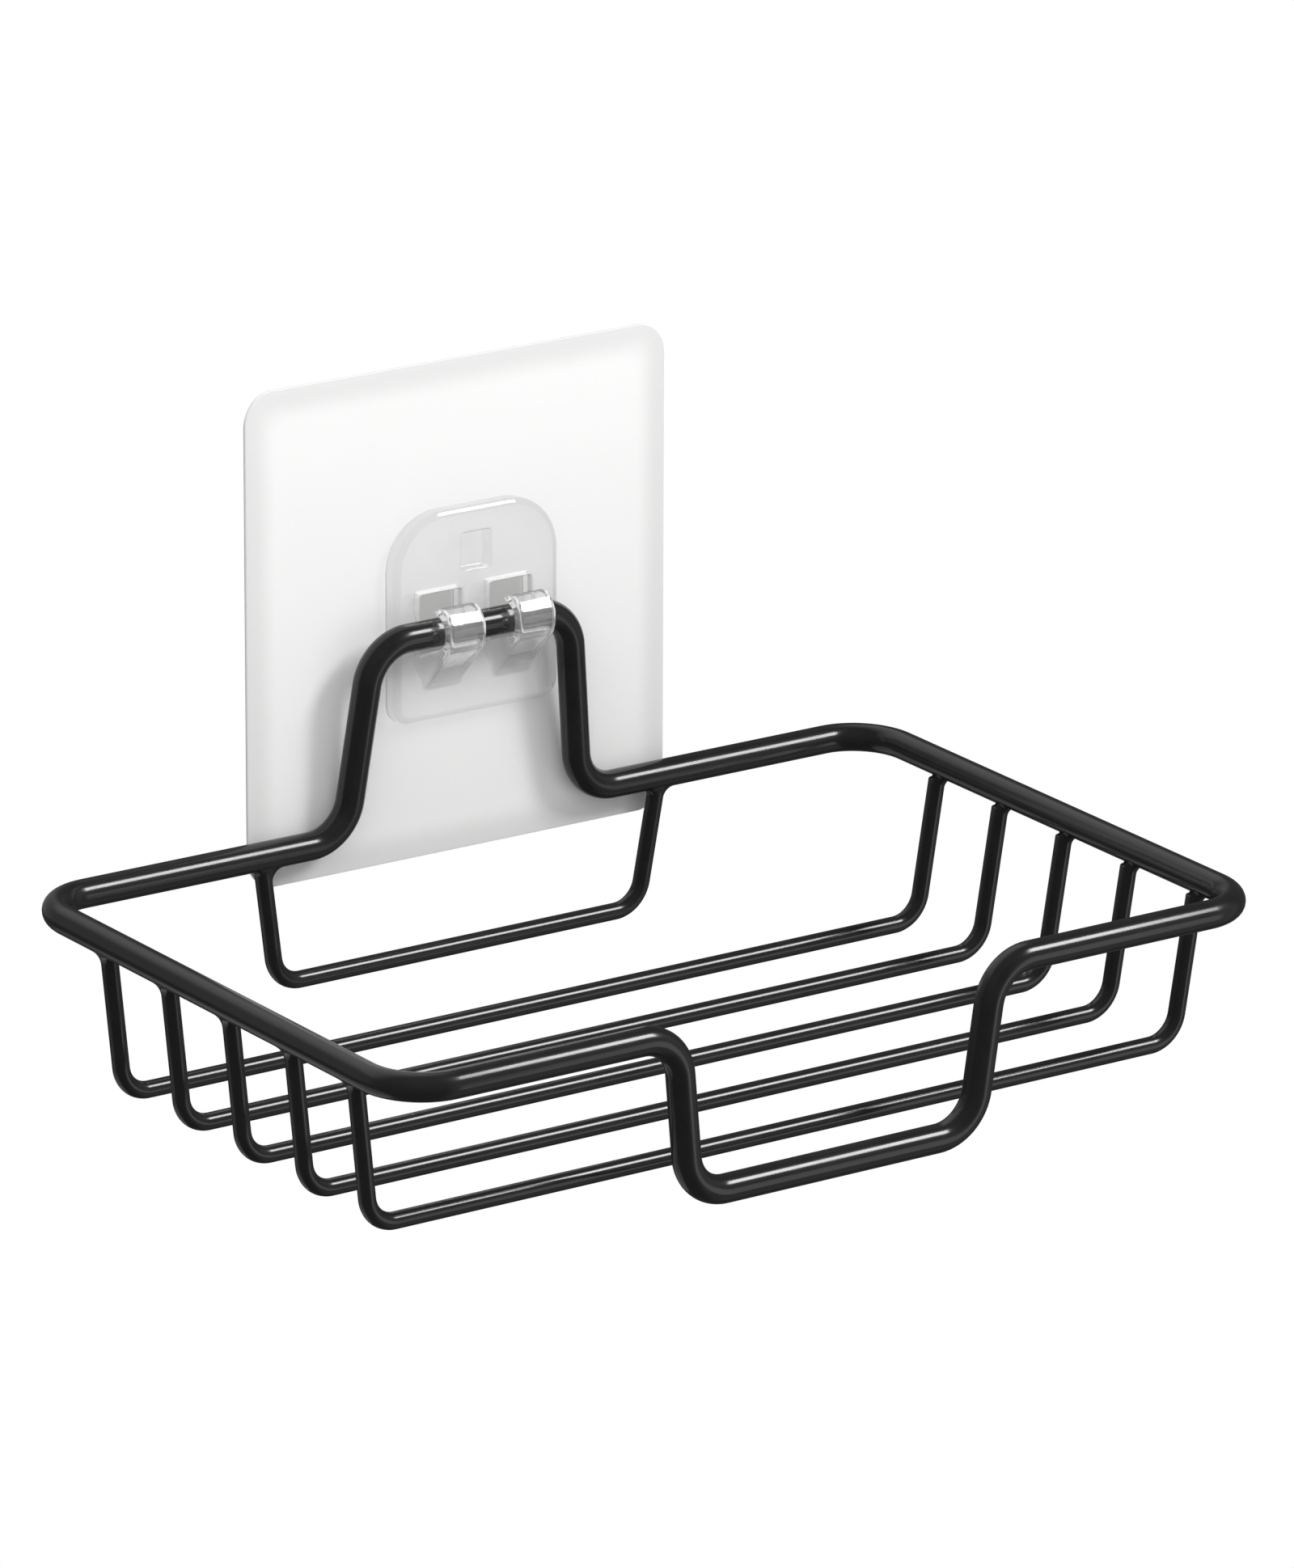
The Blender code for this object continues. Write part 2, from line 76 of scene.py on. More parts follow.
# %% Where the bar is and how far the basket is tipped
bar_low, bar_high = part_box("hanger_bar")
BAR_MIDDLE = (bar_low + bar_high) / 2.0
RAIL_RADIUS = (bar_high.z - bar_low.z) / 2.0
THIN_RADIUS = 0.0012
RAIL_DROP = 0.0277
HANGER_LEAN = 0.0011
sheet_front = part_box("backing_sheet")[0].y
SEAT_GAP = 0.0003
rail_reach = -BAR_MIDDLE.y + sheet_front - SEAT_GAP - RAIL_RADIUS
REST_TILT = (math.asin(rail_reach / math.hypot(RAIL_DROP, HANGER_LEAN))
             - math.atan2(HANGER_LEAN, RAIL_DROP))


def hung(point):
    """A point of the level basket, moved to where it hangs at rest."""
    x, y, z = point
    turned_y = y * math.cos(REST_TILT) - z * math.sin(REST_TILT)
    turned_z = y * math.sin(REST_TILT) + z * math.cos(REST_TILT)
    return BAR_MIDDLE + Vector((x, turned_y, turned_z))


print("bar middle in mm:", [round(v * 1000.0, 2) for v in BAR_MIDDLE])
print("tip in degrees:", round(math.degrees(REST_TILT), 3))

# %% [markdown]
# ## A shared grain
# No real surface is perfectly even: a sprayed coat, a pressed sheet and a moulding all
# swell and sink a little. A texture in each material would do, but they would repeat the
# same nodes. So one shader node group is built once and placed in each material with its
# own sizes. It gives out only a mask and a height, which each material uses as it likes.

# %% Node group for the grain
PATCH_DETAIL = 2.0
GRAIN_DETAIL = 3.0
MASK_LOW, MASK_HIGH = 0.3, 0.7  # noise beyond these gives a mask of 0 or 1


def add_sockets(tree, in_out, *sockets):
    for name, kind in sockets:
        tree.interface.new_socket(name=name, in_out=in_out,
                                  socket_type="NodeSocket" + kind)


def make_grain_group():
    """Broad patches and fine grain, as a mask from 0 to 1 and a height."""
    tree = bpy.data.node_groups.new("surface_grain", "ShaderNodeTree")
    add_sockets(tree, "INPUT", ("Vector", "Vector"), ("Patch Scale", "Float"),
                ("Grain Scale", "Float"), ("Grain Share", "Float"))
    add_sockets(tree, "OUTPUT", ("Mask", "Float"), ("Height", "Float"))
    nodes, links = tree.nodes, tree.links
    inputs = nodes.new("NodeGroupInput")
    outputs = nodes.new("NodeGroupOutput")
    mix = nodes.new("ShaderNodeMix")
    mix.data_type = "FLOAT"
    links.new(inputs.outputs["Grain Share"], mix.inputs["Factor"])
    for scale, detail, end in (("Patch Scale", PATCH_DETAIL, "A"),
                               ("Grain Scale", GRAIN_DETAIL, "B")):
        noise = nodes.new("ShaderNodeTexNoise")
        noise.inputs["Detail"].default_value = detail
        links.new(inputs.outputs["Vector"], noise.inputs["Vector"])
        links.new(inputs.outputs[scale], noise.inputs["Scale"])
        links.new(noise.outputs["Fac"], mix.inputs[end])
    spread = nodes.new("ShaderNodeMapRange")
    spread.inputs["From Min"].default_value = MASK_LOW
    spread.inputs["From Max"].default_value = MASK_HIGH
    links.new(mix.outputs["Result"], spread.inputs["Value"])
    links.new(spread.outputs["Result"], outputs.inputs["Mask"])
    links.new(mix.outputs["Result"], outputs.inputs["Height"])
    return tree


GRAIN = make_grain_group()


def new_material(name):
    """A material with its Principled shader, node tree and grain input ready."""
    material = bpy.data.materials.new(name)
    material.use_nodes = True
    tree = material.node_tree
    shader = tree.nodes["Principled BSDF"]
    place = tree.nodes.new("ShaderNodeTexCoord")
    return material, tree, shader, place


def add_grain(tree, place, patch_scale, grain_scale, grain_share):
    grain = tree.nodes.new("ShaderNodeGroup")
    grain.node_tree = GRAIN
    grain.inputs["Patch Scale"].default_value = patch_scale
    grain.inputs["Grain Scale"].default_value = grain_scale
    grain.inputs["Grain Share"].default_value = grain_share
    tree.links.new(place.outputs["Object"], grain.inputs["Vector"])
    return grain


def add_bump(tree, shader, height, distance):
    bump = tree.nodes.new("ShaderNodeBump")
    bump.inputs["Distance"].default_value = distance
    tree.links.new(height, bump.inputs["Height"])
    tree.links.new(bump.outputs["Normal"], shader.inputs["Normal"])


def mix_colors(tree, factor, first, second):
    mix = tree.nodes.new("ShaderNodeMix")
    mix.data_type = "RGBA"
    mix.inputs["A"].default_value = (*first, 1.0)
    mix.inputs["B"].default_value = (*second, 1.0)
    tree.links.new(factor, mix.inputs["Factor"])
    return mix


def map_range(tree, value, from_low, from_high, to_low, to_high, smooth=False):
    node = tree.nodes.new("ShaderNodeMapRange")
    if smooth:
        node.interpolation_type = "SMOOTHSTEP"
    for name, number in (("From Min", from_low), ("From Max", from_high),
                         ("To Min", to_low), ("To Max", to_high)):
        node.inputs[name].default_value = number
    tree.links.new(value, node.inputs["Value"])
    return node.outputs["Result"]


def math_node(tree, operation, first, second):
    node = tree.nodes.new("ShaderNodeMath")
    node.operation = operation
    for socket, value in zip(node.inputs, (first, second)):
        if isinstance(value, float):
            socket.default_value = value
        else:
            tree.links.new(value, socket)
    return node.outputs["Value"]


def split_vector(tree, vector):
    """The X, Y and Z outputs of a vector."""
    parts = tree.nodes.new("ShaderNodeSeparateXYZ")
    tree.links.new(vector, parts.inputs["Vector"])
    return parts.outputs


def grained_material(name, patch_scale, grain_scale, grain_share, dark, light):
    """A material whose base colour moves between two colours with the grain."""
    material, tree, shader, place = new_material(name)
    grain = add_grain(tree, place, patch_scale, grain_scale, grain_share)
    tint = mix_colors(tree, grain.outputs["Mask"], dark, light)
    tree.links.new(tint.outputs["Result"], shader.inputs["Base Color"])
    return material, tree, shader, grain


def add_gloss(tree, shader, grain, low, high):
    """The grain's mask moves the roughness between two values."""
    gloss = map_range(tree, grain.outputs["Mask"], 0.0, 1.0, low, high)
    tree.links.new(gloss, shader.inputs["Roughness"])


print("grain group sockets:", len(GRAIN.interface.items_tree))

# %% [markdown]
# ## Black coated steel
# The wires are steel with a smooth, half-glossy black coat. A thin streak of the lamp
# runs along each wire, so roughness matters more than colour: the coat is a near black
# with a trace of warm violet, and its roughness drifts a little in broad patches. The
# coat lies on the steel with a very slight orange peel, made by a bump a few thousandths
# of a millimetre high.

# %% Material for the wires
def make_black_coat():
    material, tree, shader, grain = grained_material(
        "black_coat", 260.0, 1400.0, 0.25, (0.0120, 0.0112, 0.0118),
        (0.0160, 0.0148, 0.0156))
    add_gloss(tree, shader, grain, 0.17, 0.21)
    shader.inputs["IOR"].default_value = 1.45
    add_bump(tree, shader, grain.outputs["Height"], 0.000002)
    return material


BLACK_COAT = make_black_coat()
print("made", BLACK_COAT.name)

# %% [markdown]
# ## Bending wire
# A real wire is bent at a few places, each with its own inner radius, and is straight in
# between. It could be a curve with handles, but then the bends are hard to set exactly.
# Here a Geometry Nodes tree does what the bending machine does. It takes an open line of
# corner points, each carrying its bend radius as an attribute, rounds every corner with
# Fillet Curve, and sweeps a circle along it.

# %% Geometry Nodes tree for a bent wire
BEND_STEPS = 16


def make_wire_tree():
    tree = bpy.data.node_groups.new("bent_wire", "GeometryNodeTree")
    add_sockets(tree, "INPUT", ("Corners", "Geometry"), ("Wire Radius", "Float"),
                ("Bend Steps", "Int"), ("Sides", "Int"), ("Coat", "Material"))
    add_sockets(tree, "OUTPUT", ("Wire", "Geometry"))
    nodes, links = tree.nodes, tree.links
    inputs = nodes.new("NodeGroupInput")
    outputs = nodes.new("NodeGroupOutput")
    line = nodes.new("GeometryNodeMeshToCurve")
    links.new(inputs.outputs["Corners"], line.inputs["Mesh"])
    bend_radius = nodes.new("GeometryNodeInputNamedAttribute")
    bend_radius.data_type = "FLOAT"
    bend_radius.inputs["Name"].default_value = "bend_radius"
    fillet = nodes.new("GeometryNodeFilletCurve")
    fillet.mode = "POLY"
    links.new(line.outputs["Curve"], fillet.inputs["Curve"])
    links.new(inputs.outputs["Bend Steps"], fillet.inputs["Count"])
    links.new(bend_radius.outputs["Attribute"], fillet.inputs["Radius"])
    circle = nodes.new("GeometryNodeCurvePrimitiveCircle")
    links.new(inputs.outputs["Sides"], circle.inputs["Resolution"])
    links.new(inputs.outputs["Wire Radius"], circle.inputs["Radius"])
    sweep = nodes.new("GeometryNodeCurveToMesh")
    sweep.inputs["Fill Caps"].default_value = True
    links.new(fillet.outputs["Curve"], sweep.inputs["Curve"])
    links.new(circle.outputs["Curve"], sweep.inputs["Profile Curve"])
    real = nodes.new("GeometryNodeRealizeInstances")
    links.new(sweep.outputs["Mesh"], real.inputs["Geometry"])
    coat = nodes.new("GeometryNodeSetMaterial")
    links.new(real.outputs["Geometry"], coat.inputs["Geometry"])
    links.new(inputs.outputs["Coat"], coat.inputs["Material"])
    links.new(coat.outputs["Geometry"], outputs.inputs["Wire"])
    return tree


WIRE_TREE = make_wire_tree()
print("wire tree nodes:", len(WIRE_TREE.nodes))

# %% [markdown]
# The tree is used through one function. It makes the corner line as a small mesh, hangs
# the tree on it, reads the evaluated result back as a plain mesh and throws the modifier
# away. Curve to Mesh leaves its caps loose, so they are merged, and only the edge round
# a cap stays sharp.

# %% Turn corner points into a finished wire
MERGE_DISTANCE = 0.000001
CAP_DEGREES = 50.0


def link(obj):
    bpy.context.scene.collection.objects.link(obj)
    return obj


def mesh_object(name, bm):
    """An object of the scene with the faces of a bmesh, which is freed."""
    mesh = bpy.data.meshes.new(name)
    bm.to_mesh(mesh)
    bm.free()
    return link(bpy.data.objects.new(name, mesh))


def bridge(bm, first, second):
    """Faces between two closed rings of vertices."""
    for i in range(len(first)):
        j = (i + 1) % len(first)
        bm.faces.new((first[i], first[j], second[j], second[i]))


def set_tree_input(modifier, name, value):
    for item in modifier.node_group.interface.items_tree:
        if item.item_type == "SOCKET" and item.in_out == "INPUT" and item.name == name:
            modifier[item.identifier] = value


def tidy_mesh(mesh, sharp_degrees):
    """Merge doubles, turn all faces outwards and shade smooth but for sharp edges."""
    bm = bmesh.new()
    bm.from_mesh(mesh)
    bmesh.ops.remove_doubles(bm, verts=bm.verts, dist=MERGE_DISTANCE)
    bmesh.ops.recalc_face_normals(bm, faces=bm.faces)
    bm.to_mesh(mesh)
    bm.free()
    mesh.shade_smooth()
    mesh.set_sharp_from_angle(angle=math.radians(sharp_degrees))


def bent_wire(name, corners, radii, wire_radius, sides):
    """A wire through corner points of the level basket, hung in its place."""
    points = [hung(corner) for corner in corners]
    line = bpy.data.meshes.new(name + "_line")
    line.from_pydata(points, [(i, i + 1) for i in range(len(points) - 1)], [])
    attribute = line.attributes.new("bend_radius", "FLOAT", "POINT")
    attribute.data.foreach_set("value", [0.0, *radii, 0.0])
    guide = link(bpy.data.objects.new(name + "_guide", line))
    modifier = guide.modifiers.new("bent_wire", "NODES")
    modifier.node_group = WIRE_TREE
    for socket, value in (("Wire Radius", wire_radius), ("Bend Steps", BEND_STEPS),
                          ("Sides", sides), ("Coat", BLACK_COAT)):
        set_tree_input(modifier, socket, value)
    bpy.context.view_layer.update()
    graph = bpy.context.evaluated_depsgraph_get()
    mesh = bpy.data.meshes.new_from_object(guide.evaluated_get(graph))
    mesh.name = name
    bpy.data.objects.remove(guide, do_unlink=True)
    tidy_mesh(mesh, CAP_DEGREES)
    return link(bpy.data.objects.new(name, mesh))


def finish_piece(piece, body, slot, *nodes):
    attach(piece, body)
    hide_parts(*nodes)


# %% [markdown]
# ## The thick wire
# One 4 mm wire makes the hanger, the back rail, the side rails and the front rail with
# its dip. The straight bar that lies in the fingers is the same wire. It turns and slides
# in the fingers as the bar does in the frame, so it is its own piece, and the two
# stretches meet without a gap where the frame's pieces leave a hair's breadth.

# %% Corners of the thick wire
BASKET_WIDTH = 0.1408
BASKET_DEPTH = 0.0865
HANGER_HALF_BOTTOM = 0.0197
HANGER_HALF_TOP = 0.0164
RAIL_CORNER_RADIUS = 0.0080
HANGER_BEND_RADIUS = 0.0065
DIP_BEND_RADIUS = 0.0065
DIP_MIDDLE_X = -0.0005
DIP_HALF_TOP = 0.0262
DIP_HALF_BOTTOM = 0.0234
DIP_DEPTH = 0.0233
RAIL_SIDES = 48

half_width = BASKET_WIDTH / 2.0
back_y = HANGER_LEAN
front_y = back_y - BASKET_DEPTH
rail_z = -RAIL_DROP
dip_z = rail_z - DIP_DEPTH
bar_half = (bar_high.x - bar_low.x) / 2.0
joint_x = bar_half + SEAT_GAP / 2.0

frame_corners = [
    (joint_x, 0.0, 0.0),
    (HANGER_HALF_TOP, 0.0, 0.0),
    (HANGER_HALF_BOTTOM, back_y, rail_z),
    (half_width, back_y, rail_z),
    (half_width, front_y, rail_z),
    (DIP_MIDDLE_X + DIP_HALF_TOP, front_y, rail_z),
    (DIP_MIDDLE_X + DIP_HALF_BOTTOM, front_y, dip_z),
    (DIP_MIDDLE_X - DIP_HALF_BOTTOM, front_y, dip_z),
    (DIP_MIDDLE_X - DIP_HALF_TOP, front_y, rail_z),
    (-half_width, front_y, rail_z),
    (-half_width, back_y, rail_z),
    (-HANGER_HALF_BOTTOM, back_y, rail_z),
    (-HANGER_HALF_TOP, 0.0, 0.0),
    (-joint_x, 0.0, 0.0),
]
right_radii = ([HANGER_BEND_RADIUS] * 2 + [RAIL_CORNER_RADIUS] * 2
               + [DIP_BEND_RADIUS] * 2)
frame_radii = right_radii + right_radii[::-1]

# %% Bend the thick wire and its bar
frame_wire = bent_wire("frame_wire_visual", frame_corners, frame_radii, RAIL_RADIUS,
                       RAIL_SIDES)
finish_piece(frame_wire, "basket", "black_coated_steel", "frame_wire")
hanger_bar = bent_wire("hanger_bar_visual",
                       [(-joint_x, 0.0, 0.0), (joint_x, 0.0, 0.0)], [], RAIL_RADIUS,
                       RAIL_SIDES)
finish_piece(hanger_bar, "bar", "black_coated_steel", "hanger_bar")
print("frame wire faces:", len(frame_wire.data.polygons))

# %% [markdown]
# ## Thin wires and their welds
# Five thin wires cross under the side rails and one hangs under the back rail. Each end
# is pressed into the rail while both glow, so the joint is no sharp corner. Outboard the
# metal flows into a round fillet, turned a little to the back. Inboard, turned further
# to the back, a blunt shoulder of the wire's cut end is left, with a small notch.
#
# A Boolean union with a bevel could do this, but a bevel slides badly on a joint of two
# round rods. A fillet has a rule: it is the path of a ball that rolls round the joint and
# touches both rods. So each weld is worked out profile by profile round the wire.

# %% Sizes of the thin wires
FLOOR_WIRES = 5
FLOOR_FIRST = 0.0170
FLOOR_PITCH = 0.0144
FLOOR_DEPTH = 0.0226
FLOOR_INBOARD = 0.0006
FLOOR_TAPER = 0.0030
THIN_BEND_RADIUS = 0.0045
BACK_HALF_TOP = 0.0335
BACK_HALF_BOTTOM = 0.0305
BACK_DEPTH = 0.0190
WELD_HEIGHT = 0.0024
THIN_SIDES = 32

# %% The rolling ball, and the profile it leaves
FILLET_OUTBOARD = 0.0024
FILLET_BESIDE = 0.0010
FLARE_TURN = math.radians(12.0)  # from outboard towards the back
FLARE_FADE = (0.35, 0.95)  # how far a direction leans that way as the fillet grows
SHOULDER_TURN = math.radians(36.0)  # from inboard towards the back
SHOULDER_FADE = (0.25, 0.60)
SHOULDER_ROUND = 0.00030
SHOULDER_DROP = 0.00200  # the cut end below the rail's centre line
SUNK_SHARE = 0.55  # where the hidden end closes, between the rail's middle and its skin
WELD_TURNS = 48
PROFILE_STEPS = 8


def lerp(first, second, share):
    return first * (1.0 - share) + second * share


def smooth_step(low, high, value):
    share = min(max((value - low) / (high - low), 0.0), 1.0)
    return share * share * (3.0 - 2.0 * share)


def weld_frame(top, foot, along):
    """The wire's upward direction, and two directions across it: out and along."""
    up = (Vector(top) - Vector(foot)).normalized()
    out = Vector(along).cross(up).normalized()
    side = up.cross(out).normalized()
    return up, out, side


def ball_profile(wire_top, up, across, rail_along, ball):
    """Points from the wire's side to the rail's, round a ball that touches both."""
    reach = across * (THIN_RADIUS + ball)
    # Height down the wire at which the ball also touches the rail, whose centre line
    # passes through the origin of these coordinates. There is one only while
    # FLOOR_INBOARD is less than RAIL_RADIUS minus THIN_RADIUS.
    flat = rail_along.normalized()
    a = up - flat * up.dot(flat)
    b = wire_top + reach
    b = b - flat * b.dot(flat)
    half_b = a.dot(b)
    size = half_b * half_b - a.dot(a) * (b.dot(b) - (RAIL_RADIUS + ball) ** 2)
    height = (-half_b - math.sqrt(size)) / a.dot(a)
    centre = wire_top + reach + up * height
    to_wire = -across
    to_axis = -(centre - flat * centre.dot(flat)).normalized()
    angle = to_wire.angle(to_axis)
    points = []
    for step in range(PROFILE_STEPS + 1):
        share = step / PROFILE_STEPS
        turned = (to_wire * math.sin((1.0 - share) * angle)
                  + to_axis * math.sin(share * angle)) / math.sin(angle)
        points.append(centre + turned * ball)
    return points


def shoulder_profile(wire_top, up, across):
    """Points up the wire's side and in over its rounded cut end."""
    end = wire_top - up * (SHOULDER_DROP + wire_top.z / up.z)
    points = []
    for step in range(PROFILE_STEPS + 1):
        angle = math.pi / 2.0 * step / PROFILE_STEPS
        inward = THIN_RADIUS - SHOULDER_ROUND * (1.0 - math.cos(angle))
        rise = -SHOULDER_ROUND * (1.0 - math.sin(angle))
        points.append(end + across * inward + up * rise)
    return points


def make_weld(name, top, foot, rail_point, rail_along):
    """One weld: the flare and shoulder that join a thin wire's end to a rail."""
    rail_along = Vector(rail_along)
    rail_point = Vector(rail_point)
    wire_top = Vector(top) - rail_point
    up, out, side = weld_frame(top, foot, rail_along)
    if out.x * top[0] < 0.0:
        out, side = -out, -side
    start = wire_top - up * (RAIL_RADIUS / up.z + WELD_HEIGHT)
    flare_way = out * math.cos(FLARE_TURN) + rail_along * math.sin(FLARE_TURN)
    shoulder_way = -out * math.cos(SHOULDER_TURN) + rail_along * math.sin(SHOULDER_TURN)
    bm = bmesh.new()
    rings = []
    for turn in range(WELD_TURNS):
        angle = 2.0 * math.pi * turn / WELD_TURNS
        across = out * math.cos(angle) + side * math.sin(angle)
        lean = across.dot(flare_way)
        ball = lerp(FILLET_BESIDE, FILLET_OUTBOARD, smooth_step(*FLARE_FADE, lean))
        flare = ball_profile(wire_top, up, across, rail_along, ball)
        blunt = shoulder_profile(wire_top, up, across)
        share = smooth_step(*SHOULDER_FADE, across.dot(shoulder_way))
        profile = [lerp(a, b, share) for a, b in zip(flare, blunt)]
        sunk = profile[-1] * SUNK_SHARE
        points = [start + across * THIN_RADIUS, *profile, sunk]
        rings.append([bm.verts.new(hung(point + rail_point)) for point in points])
    for turn in range(WELD_TURNS):
        here, beyond = rings[turn], rings[(turn + 1) % WELD_TURNS]
        for i in range(len(here) - 1):
            bm.faces.new((here[i], beyond[i], beyond[i + 1], here[i + 1]))
    bm.faces.new([ring[0] for ring in rings])
    bm.faces.new([ring[-1] for ring in rings])
    weld = mesh_object(name, bm)
    weld.data.materials.append(BLACK_COAT)
    tidy_mesh(weld.data, CAP_DEGREES)
    return weld, start + rail_point


# %% Floor wires and back wire, each with its two welds
top_half = half_width - FLOOR_INBOARD
bottom_half = top_half - FLOOR_TAPER
floor_z = rail_z - FLOOR_DEPTH
ALONG_Y = (0.0, 1.0, 0.0)
ALONG_X = (1.0, 0.0, 0.0)


def hung_wire(name, node, weld_names, y, half_top, half_bottom, z_bottom, rail_half,
              rail_along):
    """A thin wire under two rails, or under one, with a weld at each end."""
    ends = {}
    for (side, sign), (weld_name, weld_node) in zip((("left", -1.0), ("right", 1.0)),
                                                    weld_names):
        weld, end = make_weld(weld_name, (sign * half_top, y, rail_z),
                              (sign * half_bottom, y, z_bottom),
                              (sign * rail_half, y, rail_z), rail_along)
        finish_piece(weld, "basket", "black_coated_steel", weld_node)
        ends[side] = end
    corners = [ends["left"], (-half_bottom, y, z_bottom), (half_bottom, y, z_bottom),
               ends["right"]]
    wire = bent_wire(name, corners, [THIN_BEND_RADIUS, THIN_BEND_RADIUS], THIN_RADIUS,
                     THIN_SIDES)
    finish_piece(wire, "basket", "black_coated_steel", node)
    return wire


for number in range(1, FLOOR_WIRES + 1):
    wire_y = back_y - FLOOR_FIRST - (number - 1) * FLOOR_PITCH
    hung_wire("floor_wire_%d_visual" % number, "floor_wire_%d" % number,
              [("weld_%s_%d_visual" % (side, number), "weld_%s_%d" % (side, number))
               for side in ("left", "right")],
              wire_y, top_half, bottom_half, floor_z, half_width, ALONG_Y)
hung_wire("back_wire_visual", "back_wire",
          [("weld_back_%s_visual" % side, "weld_back_%s" % side)
           for side in ("left", "right")],
          back_y, BACK_HALF_TOP, BACK_HALF_BOTTOM, rail_z - BACK_DEPTH, BACK_HALF_TOP,
          ALONG_X)
print("wires bent:", 2 + FLOOR_WIRES + 1)

# %% [markdown]
# ## Clear moulded hook
# The hook is one moulding: an arched plate, two windows, a square recess and two curled
# fingers. Moulded edges are all a little round, and the fingers run into the plate
# without a corner. The plate and fingers are first cut and joined with Booleans. A voxel
# remesh then lays one even skin over everything, and a little smoothing rounds each
# edge and fills each inner corner as the mould does, which a bevel can't do across
# shapes that run into each other. Only the plate's front edge has a flat bevel, which is
# cut beforehand. The tops of the windows and of the recess slope up towards the wall.

# %% Sizes of the hook
hook_low, hook_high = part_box("hook_plate")
HOOK_MIDDLE_X = (hook_low.x + hook_high.x) / 2.0
HOOK_HALF = (hook_high.x - hook_low.x) / 2.0
PLATE_THICKNESS = 0.0020  # of the solid plate, whose back lies off the sheet
HOOK_FRONT = -hook_high.y + PLATE_THICKNESS
BOND_SKIN = 0.00004  # between the sheet and the dressed plate, which fills the rest
HOOK_BACK = -sheet_front + BOND_SKIN
HOOK_THICKNESS = HOOK_FRONT - HOOK_BACK
HOOK_TOP_RADIUS = 0.0083
HOOK_BOTTOM_RADIUS = 0.0026
HOOK_EDGE_ROUND = 0.0007
HOOK_BACK_ROUND = HOOK_EDGE_ROUND / 4.0
HOOK_ROUND_STEPS = 8
BEVEL_INSET = 0.0009
BEVEL_DEPTH = 0.00064
BEVEL_FULLNESS = 1.3
DRAFT_DEGREES = 4.0  # the slope of the cavities' tops
FINGERS_MIDDLE_X = 0.0015
FINGER_PITCH = 0.0117
FINGER_MIDDLES = (FINGERS_MIDDLE_X - FINGER_PITCH / 2.0,
                  FINGERS_MIDDLE_X + FINGER_PITCH / 2.0)
FINGER_WIDTH = 0.0060
FINGER_EDGE_ROUND = 0.0006
FINGER_ROUND_SEGMENTS = 5
FINGER_EDGE_DEGREES = 50.0
WINDOW_SIDE_ROOM = 0.0005
WINDOW_TOP = 0.0030
RECESS_WIDTH = 0.0048
RECESS_HEIGHT = 0.0052
RECESS_MIDDLE_Z = 0.0081
RECESS_DEPTH = 0.0012

# %% Outlines for the plate and the finger
CORNER_STEPS = 24


def arc_points(centre, radius, start, end, steps):
    points = []
    for i in range(steps + 1):
        angle = math.radians(start + (end - start) * i / steps)
        points.append((centre[0] + radius * math.cos(angle),
                       centre[1] + radius * math.sin(angle)))
    return points


def rounded_outline(half_wide, bottom, top, bottom_radius, top_radius):
    """A plate's outline with round corners, counter-clockwise from bottom left."""
    low, high = bottom + bottom_radius, top - top_radius
    outline = []
    for sign, level, radius, start in ((-1.0, low, bottom_radius, 180.0),
                                       (1.0, low, bottom_radius, 270.0),
                                       (1.0, high, top_radius, 0.0),
                                       (-1.0, high, top_radius, 90.0)):
        outline += arc_points((sign * (half_wide - radius), level), radius, start,
                              start + 90.0, CORNER_STEPS)
    return outline


def rounded_plate(name, middle_x, half_wide, bottom, top, bottom_radius, top_radius, back,
                  thickness, front_round, back_round, round_steps, front_depth=None,
                  fullness=2.0):
    """A standing plate whose rims are rounded; a low fullness makes the front a bevel."""
    if front_depth is None:
        front_depth = front_round
    power = 2.0 / fullness
    rings = []
    for step in range(round_steps + 1):
        angle = math.pi / 2.0 * step / round_steps
        rings.append((back_round * (1.0 - math.sin(angle)),
                      back_round * (1.0 - math.cos(angle))))
    for step in range(round_steps + 1):
        angle = math.pi / 2.0 * step / round_steps
        inset = front_round * (1.0 - max(math.cos(angle), 0.0) ** power)
        sunk = front_depth * (1.0 - math.sin(angle) ** power)
        rings.append((inset, thickness - sunk))
    bm = bmesh.new()
    last = None
    for inset, forward in rings:
        outline = rounded_outline(half_wide - inset, bottom + inset, top - inset,
                                  bottom_radius - inset, top_radius - inset)
        ring = [bm.verts.new((middle_x + x, -back - forward, z)) for x, z in outline]
        if last is None:
            bm.faces.new(ring)
        else:
            bridge(bm, last, ring)
        last = ring
    bm.faces.new(last)
    bmesh.ops.recalc_face_normals(bm, faces=bm.faces)
    return mesh_object(name, bm)


# %% Finger, drawn from the side and swept across its width
POCKET_RADIUS = 0.00245
POCKET_FORWARD = 0.0001
POCKET_RISE = 0.0001
POCKET_TIP_DEGREES = 84.0
POCKET_FLOOR_DEGREES = -65.0
FINGER_WALL = 0.00175
FINGER_HEAD_RISE = 0.0038
BROW_RADIUS = 0.0015
BROW_LOW_DEGREES = 27.0
BROW_SLANT_RADIUS = 0.0080
BROW_HIGH_DEGREES = 41.0
CROWN_RADIUS = 0.0016
CROWN_DEGREES = 90.0
NAPE_RADIUS = 0.00285
NAPE_DEGREES = 126.0
NOSE_RADIUS = 0.00040
FINGER_BELLY_DEGREES = -30.0
FINGER_ROOT_TOP_DROP = 0.0041
FINGER_ROOT_BOTTOM_DROP = 0.0100
FINGER_ROOT_SINK = 0.0012
SLIGHT_STEPS = 8  # steps of an arc that turns little
FULL_STEPS = 12
POCKET_STEPS = 40


